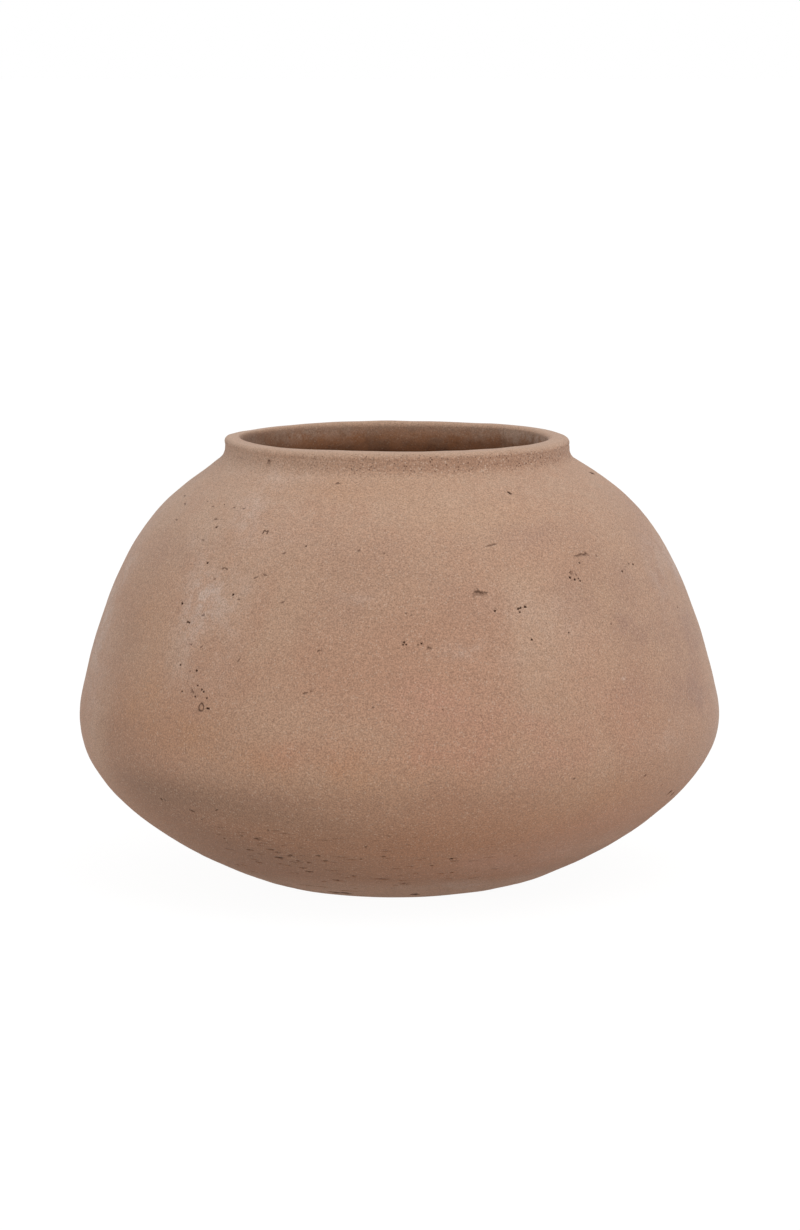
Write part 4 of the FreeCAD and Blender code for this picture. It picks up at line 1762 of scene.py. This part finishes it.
@dataclass(frozen=True)
class ClayFinish:
    """Unglazed fired clay of the vase: dusty pinkish tan, sandy, with kiln clouds and lime bloom."""

    dust: Colour = linear(184, 149, 125)
    flush: Colour = linear(179, 139, 115)
    bowl: Wash = Wash(linear(161, 113, 82), 100 * MM, 45 * MM, 0.75)
    # Paler towards the floor: painted light that lifts the shade near the floor
    foot: Wash = Wash(linear(202, 163, 136), 24 * MM, 5 * MM, 0.85)
    shoulder: Wash = Wash(linear(190, 160, 138), 190 * MM, 272 * MM, 0.6)
    ochre: Colour = linear(185, 141, 109)
    # Mauve, which near the right edge is painted shade
    pink: Colour = linear(186, 139, 118)
    mauve: Colour = linear(166, 131, 113)
    # Grey smoke, which low on the left is partly painted shade; also the colour of the tool lines
    smoke: Colour = linear(142, 112, 92)
    umber: Colour = linear(146, 101, 73)
    # Tone of the gritty band under the lip: its grit is real, and its darker tone is partly painted shade
    # under the lip
    band: Colour = linear(173, 135, 112)
    band_share: float = 0.8
    lip: Colour = linear(186, 154, 132)
    lip_share: float = 0.7
    inner: Colour = linear(160, 109, 75)
    # Soot of the inside's mottle, and on the left of the inner wall partly painted shade
    soot_and_shade: Colour = linear(118, 88, 68)
    # Pale haze inside the mouth, on the right partly painted light on the inner wall
    haze: Colour = linear(192, 163, 143)
    haze_share: float = 0.75
    haze_veil: float = 0.1
    lime: Colour = linear(206, 186, 174)
    lime_share: float = 0.62
    pale_grain: Colour = linear(214, 188, 168)
    dark_grain: Colour = linear(120, 86, 66)
    dark_grit: Colour = linear(98, 68, 50)
    grain_share: float = 0.42
    grit_share: float = 0.85
    grit_height: float = 1.9
    grain_tones: Pair = (0.77, 1.23)
    grain_size: float = 0.95 * MM
    grit_size: float = 0.92 * MM
    lip_calm: float = 0.3
    inner_calm: float = -0.45
    cloud_size: float = 110 * MM
    cloud_breaks: Pair = (0.45, 1.0)
    mottle_tones: Pair = (0.35, 0.85)
    mottle_share: float = 0.4
    line_pitch: float = 1.5 * MM
    line_levels: Pair = (80 * MM, 30 * MM)
    line_shares: Pair = (0.05, 0.2)
    # Dark stain of the marks, which also paints the shade in their hollows
    pit: Colour = linear(56, 27, 5)
    pore_spacing: float = 5.5 * MM
    pore_share: float = 0.3
    # Darkening of the pinholes, partly painted shade in the holes
    pore_stain_and_shade: float = 0.45
    pore_height: float = -1.5
    roughness: Pair = (0.84, 0.96)
    specular: float = 0.3
    sheen: float = 0.12
    sheen_roughness: float = 0.45
    bump: float = 0.55
    bump_height: float = 0.16 * MM

    def material(self, effects: ClayEffects) -> bpy.types.Material:
        """Make the material.

        Args:
            effects: Shared node groups.

        Returns:
            The material.
        """
        made, nodes, shader = Nodes.material("fired_clay")
        place = nodes.add("ShaderNodeTexCoord").outputs["Object"]
        level = nodes.add("ShaderNodeSeparateXYZ", Vector=place).outputs[2]
        grain = nodes.effect(effects.grain, place, Size=self.grain_size)
        coarse = nodes.effect(effects.grain, place, Size=self.grit_size)
        line = nodes.effect(effects.scores, place, Pitch=self.line_pitch)["Line"]
        hole = nodes.effect(effects.pores, place, Spacing=self.pore_spacing, Share=self.pore_share)["Hole"]
        grit = nodes.math("POWER", nodes.layer("band"), 0.5)
        sandy = nodes.math("SUBTRACT", 1.0, nodes.math("MULTIPLY", nodes.layer("lip"), self.lip_calm))
        sandy = nodes.math("MULTIPLY_ADD", nodes.layer("inside"), self.inner_calm, sandy)
        scored = nodes.ramp(level, *self.line_levels, *self.line_shares)

        colour = self._clay(nodes, effects, place, level)
        colour = self._sand(nodes, colour, (grain, coarse), (sandy, grit))
        colour = nodes.mix(nodes.math("MULTIPLY", line, scored), colour, self.smoke)
        # Stain of the marks and pinholes, with the painted shade in their hollows
        stain_and_shade = nodes.math("MAXIMUM", nodes.layer("pit"), nodes.math("MULTIPLY", hole, self.pore_stain_and_shade))
        height = nodes.math("MULTIPLY", grain["Height"], sandy)
        gritty = nodes.math("MULTIPLY", coarse["Height"], grit)
        height = nodes.math("MULTIPLY_ADD", gritty, self.grit_height, height)
        height = nodes.math("MULTIPLY_ADD", line, scored, height)
        height = nodes.math("MULTIPLY_ADD", hole, self.pore_height, height)
        relief = nodes.add("ShaderNodeBump", Height=height, Strength=self.bump, Distance=self.bump_height)
        nodes.inputs(shader, Base_Color=nodes.mix(stain_and_shade, colour, self.pit), Normal=relief.outputs[0],
                     Roughness=nodes.ramp(grain["Tone"], 0.0, 1.0, *self.roughness),
                     Specular_IOR_Level=self.specular, Sheen_Weight=self.sheen,
                     Sheen_Roughness=self.sheen_roughness)
        return made

    def _clay(self, nodes: Nodes, effects: ClayEffects, place: Socket, level: Socket) -> Socket:
        """Colour of the fired clay, with its clouds, its band and lip, the inside, the haze and the bloom,
        and the painted light and shade that the foot, some clouds, the band, the haze and the inside carry.

        Args:
            nodes: Nodes of the material.
            effects: Shared node groups.
            place: Coordinates of the surface.
            level: Level above the floor.

        Returns:
            The colour's socket.
        """
        clouds = nodes.effect(effects.clouds, place, Size=self.cloud_size)
        broken = nodes.ramp(clouds["Fleck"], 0.0, 1.0, *self.cloud_breaks)
        colour = nodes.mix(clouds["Broad"], self.dust, self.flush)
        for wash in (self.bowl, self.foot):
            colour = nodes.mix(wash.amount(nodes, level), colour, wash.colour)
        high = nodes.math("MULTIPLY", self.shoulder.amount(nodes, level), broken)
        colour = nodes.mix(high, colour, self.shoulder.colour)
        for tint in (Tint.OCHRE, Tint.PINK, Tint.MAUVE, Tint.SMOKE, Tint.UMBER):
            spread = 1.0 if tint in SMOOTH_TINTS else broken
            share = nodes.math("MULTIPLY", nodes.layer(tint.value), spread, clamp=True)
            colour = nodes.mix(share, colour, getattr(self, tint.value))
        for name, share, paint in (("band", self.band_share, self.band), ("lip", self.lip_share, self.lip)):
            colour = nodes.mix(nodes.math("MULTIPLY", nodes.layer(name), share), colour, paint)
        mottle = nodes.ramp(clouds["Fleck"], *self.mottle_tones, 0.0, self.mottle_share)
        mottled = nodes.mix(mottle, self.inner, self.soot_and_shade)
        mottled = nodes.mix(nodes.layer(Tint.SMOKE.value), mottled, self.soot_and_shade)
        colour = nodes.mix(nodes.layer("inside"), colour, mottled)
        haze = nodes.effect(effects.bloom, place, Amount=nodes.layer(Tint.HAZE.value), Veil=self.haze_veil)
        colour = nodes.mix(nodes.math("MULTIPLY", haze["Mask"], self.haze_share), colour, self.haze)
        bloom = nodes.effect(effects.bloom, place, Amount=nodes.layer(Tint.BLOOM.value))
        return nodes.mix(nodes.math("MULTIPLY", bloom["Mask"], self.lime_share), colour, self.lime)

    def _sand(self, nodes: Nodes, colour: Socket, grains: tuple, shares: tuple) -> Socket:
        """Add the tone of the sand, and its pale and dark grains.

        Args:
            nodes: Nodes of the material.
            colour: Colour of the clay.
            grains: Outputs of the fine grain and of the coarse grit.
            shares: How sandy and how gritty the skin is.

        Returns:
            The colour's socket.
        """
        (grain, coarse), (sandy, grit) = grains, shares
        tone = nodes.ramp(grain["Tone"], 0.0, 1.0, *self.grain_tones)
        tone = nodes.math("MULTIPLY", nodes.math("SUBTRACT", tone, 1.0), sandy)
        tone = nodes.math("ADD", 1.0, tone)
        shade = nodes.add("ShaderNodeCombineColor", Red=tone, Green=tone, Blue=tone).outputs[0]
        colour = nodes.mix(1.0, colour, shade, "MULTIPLY")
        fine = nodes.math("MULTIPLY", sandy, self.grain_share)
        pale_grit = nodes.math("MULTIPLY", grit, self.grit_share)
        for outputs, pale, dark, deep in ((grain, fine, fine, self.dark_grain),
                                          (coarse, pale_grit, grit, self.dark_grit)):
            colour = nodes.mix(nodes.math("MULTIPLY", outputs["Pale"], pale), colour, self.pale_grain)
            colour = nodes.mix(nodes.math("MULTIPLY", outputs["Dark"], dark), colour, deep)
        return colour


@dataclass(frozen=True)
class SlipFinish:
    """Fired slip in the seams: paler and finer than the clay that it joins."""

    body: Colour = linear(190, 154, 130)
    flush: Colour = linear(178, 140, 116)
    pore: Colour = linear(116, 82, 62)
    grain_size: float = 0.6 * MM
    grain_share: float = 0.25
    cloud_size: float = 50 * MM
    pore_spacing: float = 4.0 * MM
    pore_share: float = 0.4
    # Darkening of the pinholes, partly painted shade in the holes
    pore_stain_and_shade: float = 0.8
    pore_height: float = -1.2
    roughness: Pair = (0.8, 0.92)
    specular: float = 0.2
    bump: float = 0.4
    bump_height: float = 0.1 * MM

    def material(self, effects: ClayEffects) -> bpy.types.Material:
        """Make the material.

        Args:
            effects: Shared node groups.

        Returns:
            The material.
        """
        made, nodes, shader = Nodes.material("fired_slip")
        place = nodes.add("ShaderNodeTexCoord").outputs["Object"]
        grain = nodes.effect(effects.grain, place, Size=self.grain_size)
        clouds = nodes.effect(effects.clouds, place, Size=self.cloud_size)
        hole = nodes.effect(effects.pores, place, Spacing=self.pore_spacing, Share=self.pore_share)["Hole"]
        colour = nodes.mix(clouds["Broad"], self.body, self.flush)
        for mask, share in ((grain["Dark"], self.grain_share), (hole, self.pore_stain_and_shade)):
            colour = nodes.mix(nodes.math("MULTIPLY", mask, share), colour, self.pore)
        height = nodes.math("MULTIPLY_ADD", hole, self.pore_height, grain["Height"])
        relief = nodes.add("ShaderNodeBump", Height=height, Strength=self.bump, Distance=self.bump_height)
        nodes.inputs(shader, Base_Color=colour, Normal=relief.outputs[0],
                     Roughness=nodes.ramp(grain["Tone"], 0.0, 1.0, *self.roughness),
                     Specular_IOR_Level=self.specular)
        return made


@dataclass
class Vase:
    """The whole pot: six courses of clay and the slip between them."""

    view: PhotoView
    sizes: WallSizes = field(default_factory=WallSizes)

    COURSES = ("base_slab", "lower_bowl", "upper_bowl", "flank_wall", "shoulder_dome", "rim_collar")
    RINGS = ("base_slip_ring", "bowl_slip_ring", "belly_slip_ring", "flank_slip_ring", "neck_slip_ring")

    def build(self) -> None:
        """Build every course, dress it and dress the slip."""
        skin = FiredSkin(Section(self.sizes), self.view)
        marks = PhotoMarks(skin)
        marks.seen()
        marks.unseen()
        effects = ClayEffects()
        clay = ClayFinish().material(effects)
        slip = SlipFinish().material(effects)
        seams = [Seam.of(ring, self.sizes) for ring in self.RINGS]
        for node, below, above in zip(self.COURSES, [None] + seams, seams + [None]):
            made = Course(node, skin, below, above).build()
            made.data.materials.append(clay)
            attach(made, BODY)
            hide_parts(node)
            LOG.info("%s: %d faces", made.name, len(made.data.polygons))
        for ring in self.RINGS:
            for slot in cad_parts[ring].material_slots:
                slot.material = slip
            LOG.info("%s: slip finish", ring)


@dataclass
class Studio:
    """Camera, soft light and a white floor."""

    view: PhotoView
    sky: float = 0.68
    floor_half: float = 30.0
    floor_colour: Colour = linear(232, 230, 227)
    floor_white: float = 0.88
    floor_glow: float = 1.08
    table_share: float = 0.2
    table_glow: float = 1.0
    softbox_side: float = 2.2
    softbox_power: float = 30.0
    softbox_place: tuple[float, float, float] = (0.9, -1.3, 2.6)
    softbox_aim: tuple[float, float, float] = (0.0, 0.0, 0.12)

    def build(self) -> None:
        """Set the studio up."""
        bpy.context.scene.view_settings.view_transform = "Standard"
        self._camera()
        self._world()
        self._softbox()
        self._floor()
        LOG.info("studio: camera, sky, softbox and floor")

    def _camera(self) -> None:
        """Camera at the photograph's place and angle."""
        lens = bpy.data.cameras.new("photo_camera")
        lens.sensor_width = self.view.sensor
        lens.lens = self.view.focal / max(self.view.width, self.view.height) * self.view.sensor
        camera = put("photo_camera", lens)
        camera.location = self.view.place
        camera.rotation_euler = self.view.turn
        bpy.context.scene.camera = camera

    @staticmethod
    def _seen(nodes: Nodes, unseen: float, seen: float) -> Socket:
        """Choose a number by what looks: the light, or the camera, also by mirror or through glass.

        Args:
            nodes: Nodes of the world or the floor.
            unseen: Number for the light.
            seen: Number for the camera.

        Returns:
            The number's socket.
        """
        path = nodes.add("ShaderNodeLightPath").outputs
        mirrored = nodes.math("MAXIMUM", path["Is Glossy Ray"], path["Is Transmission Ray"])
        return nodes.ramp(nodes.math("MAXIMUM", path["Is Camera Ray"], mirrored), 0.0, 1.0, unseen, seen)

    def _world(self) -> None:
        """White behind the pot, and an even sky that lights it."""
        world = bpy.data.worlds.new("studio_sky")
        bpy.context.scene.world = world
        world.use_nodes = True
        nodes = Nodes(world.node_tree)
        back = world.node_tree.nodes["Background"]
        nodes.inputs(back, Color=WHITE, Strength=self._seen(nodes, self.sky, 1.0))

    def _softbox(self) -> None:
        """One wide softbox, high on the right and in front."""
        lamp = bpy.data.lights.new("softbox", "AREA")
        lamp.shape = "SQUARE"
        lamp.size = self.softbox_side
        lamp.energy = self.softbox_power
        box = put("softbox", lamp)
        box.location = self.softbox_place
        way = Vector(self.softbox_aim) - Vector(self.softbox_place)
        box.rotation_euler = way.to_track_quat("-Z", "Y").to_euler()

    def _floor(self) -> None:
        """Plain white floor, lit a little from below as a light table is, that keeps the pot's shadow."""
        half = self.floor_half
        mesh = bpy.data.meshes.new("studio_floor")
        corners = [(-half, -half, 0), (half, -half, 0), (half, half, 0), (-half, half, 0)]
        mesh.from_pydata(corners, [], [(0, 1, 2, 3)])
        floor = put("studio_floor", mesh)
        paint, nodes, shader = Nodes.material("studio_white")
        nodes.tree.nodes.remove(shader)
        matt = nodes.add("ShaderNodeBsdfDiffuse", Color=self.floor_colour)
        strength = self._seen(nodes, self.table_glow, self.floor_glow)
        glow = nodes.add("ShaderNodeEmission", Color=WHITE, Strength=strength)
        blend = nodes.add("ShaderNodeMixShader")
        share = self._seen(nodes, self.table_share, self.floor_white)
        for socket, value in zip(blend.inputs, (share, matt.outputs[0], glow.outputs[0])):
            nodes.feed(socket, value)
        nodes.inputs(nodes.tree.nodes["Material Output"], Surface=blend.outputs[0])
        mesh.materials.append(paint)


def main() -> None:
    """Build the studio and the vase."""
    logging.basicConfig(level=logging.INFO, format="%(name)s: %(message)s")
    view = PhotoView()
    Studio(view).build()
    Vase(view).build()


if __name__ == "__main__":
    main()
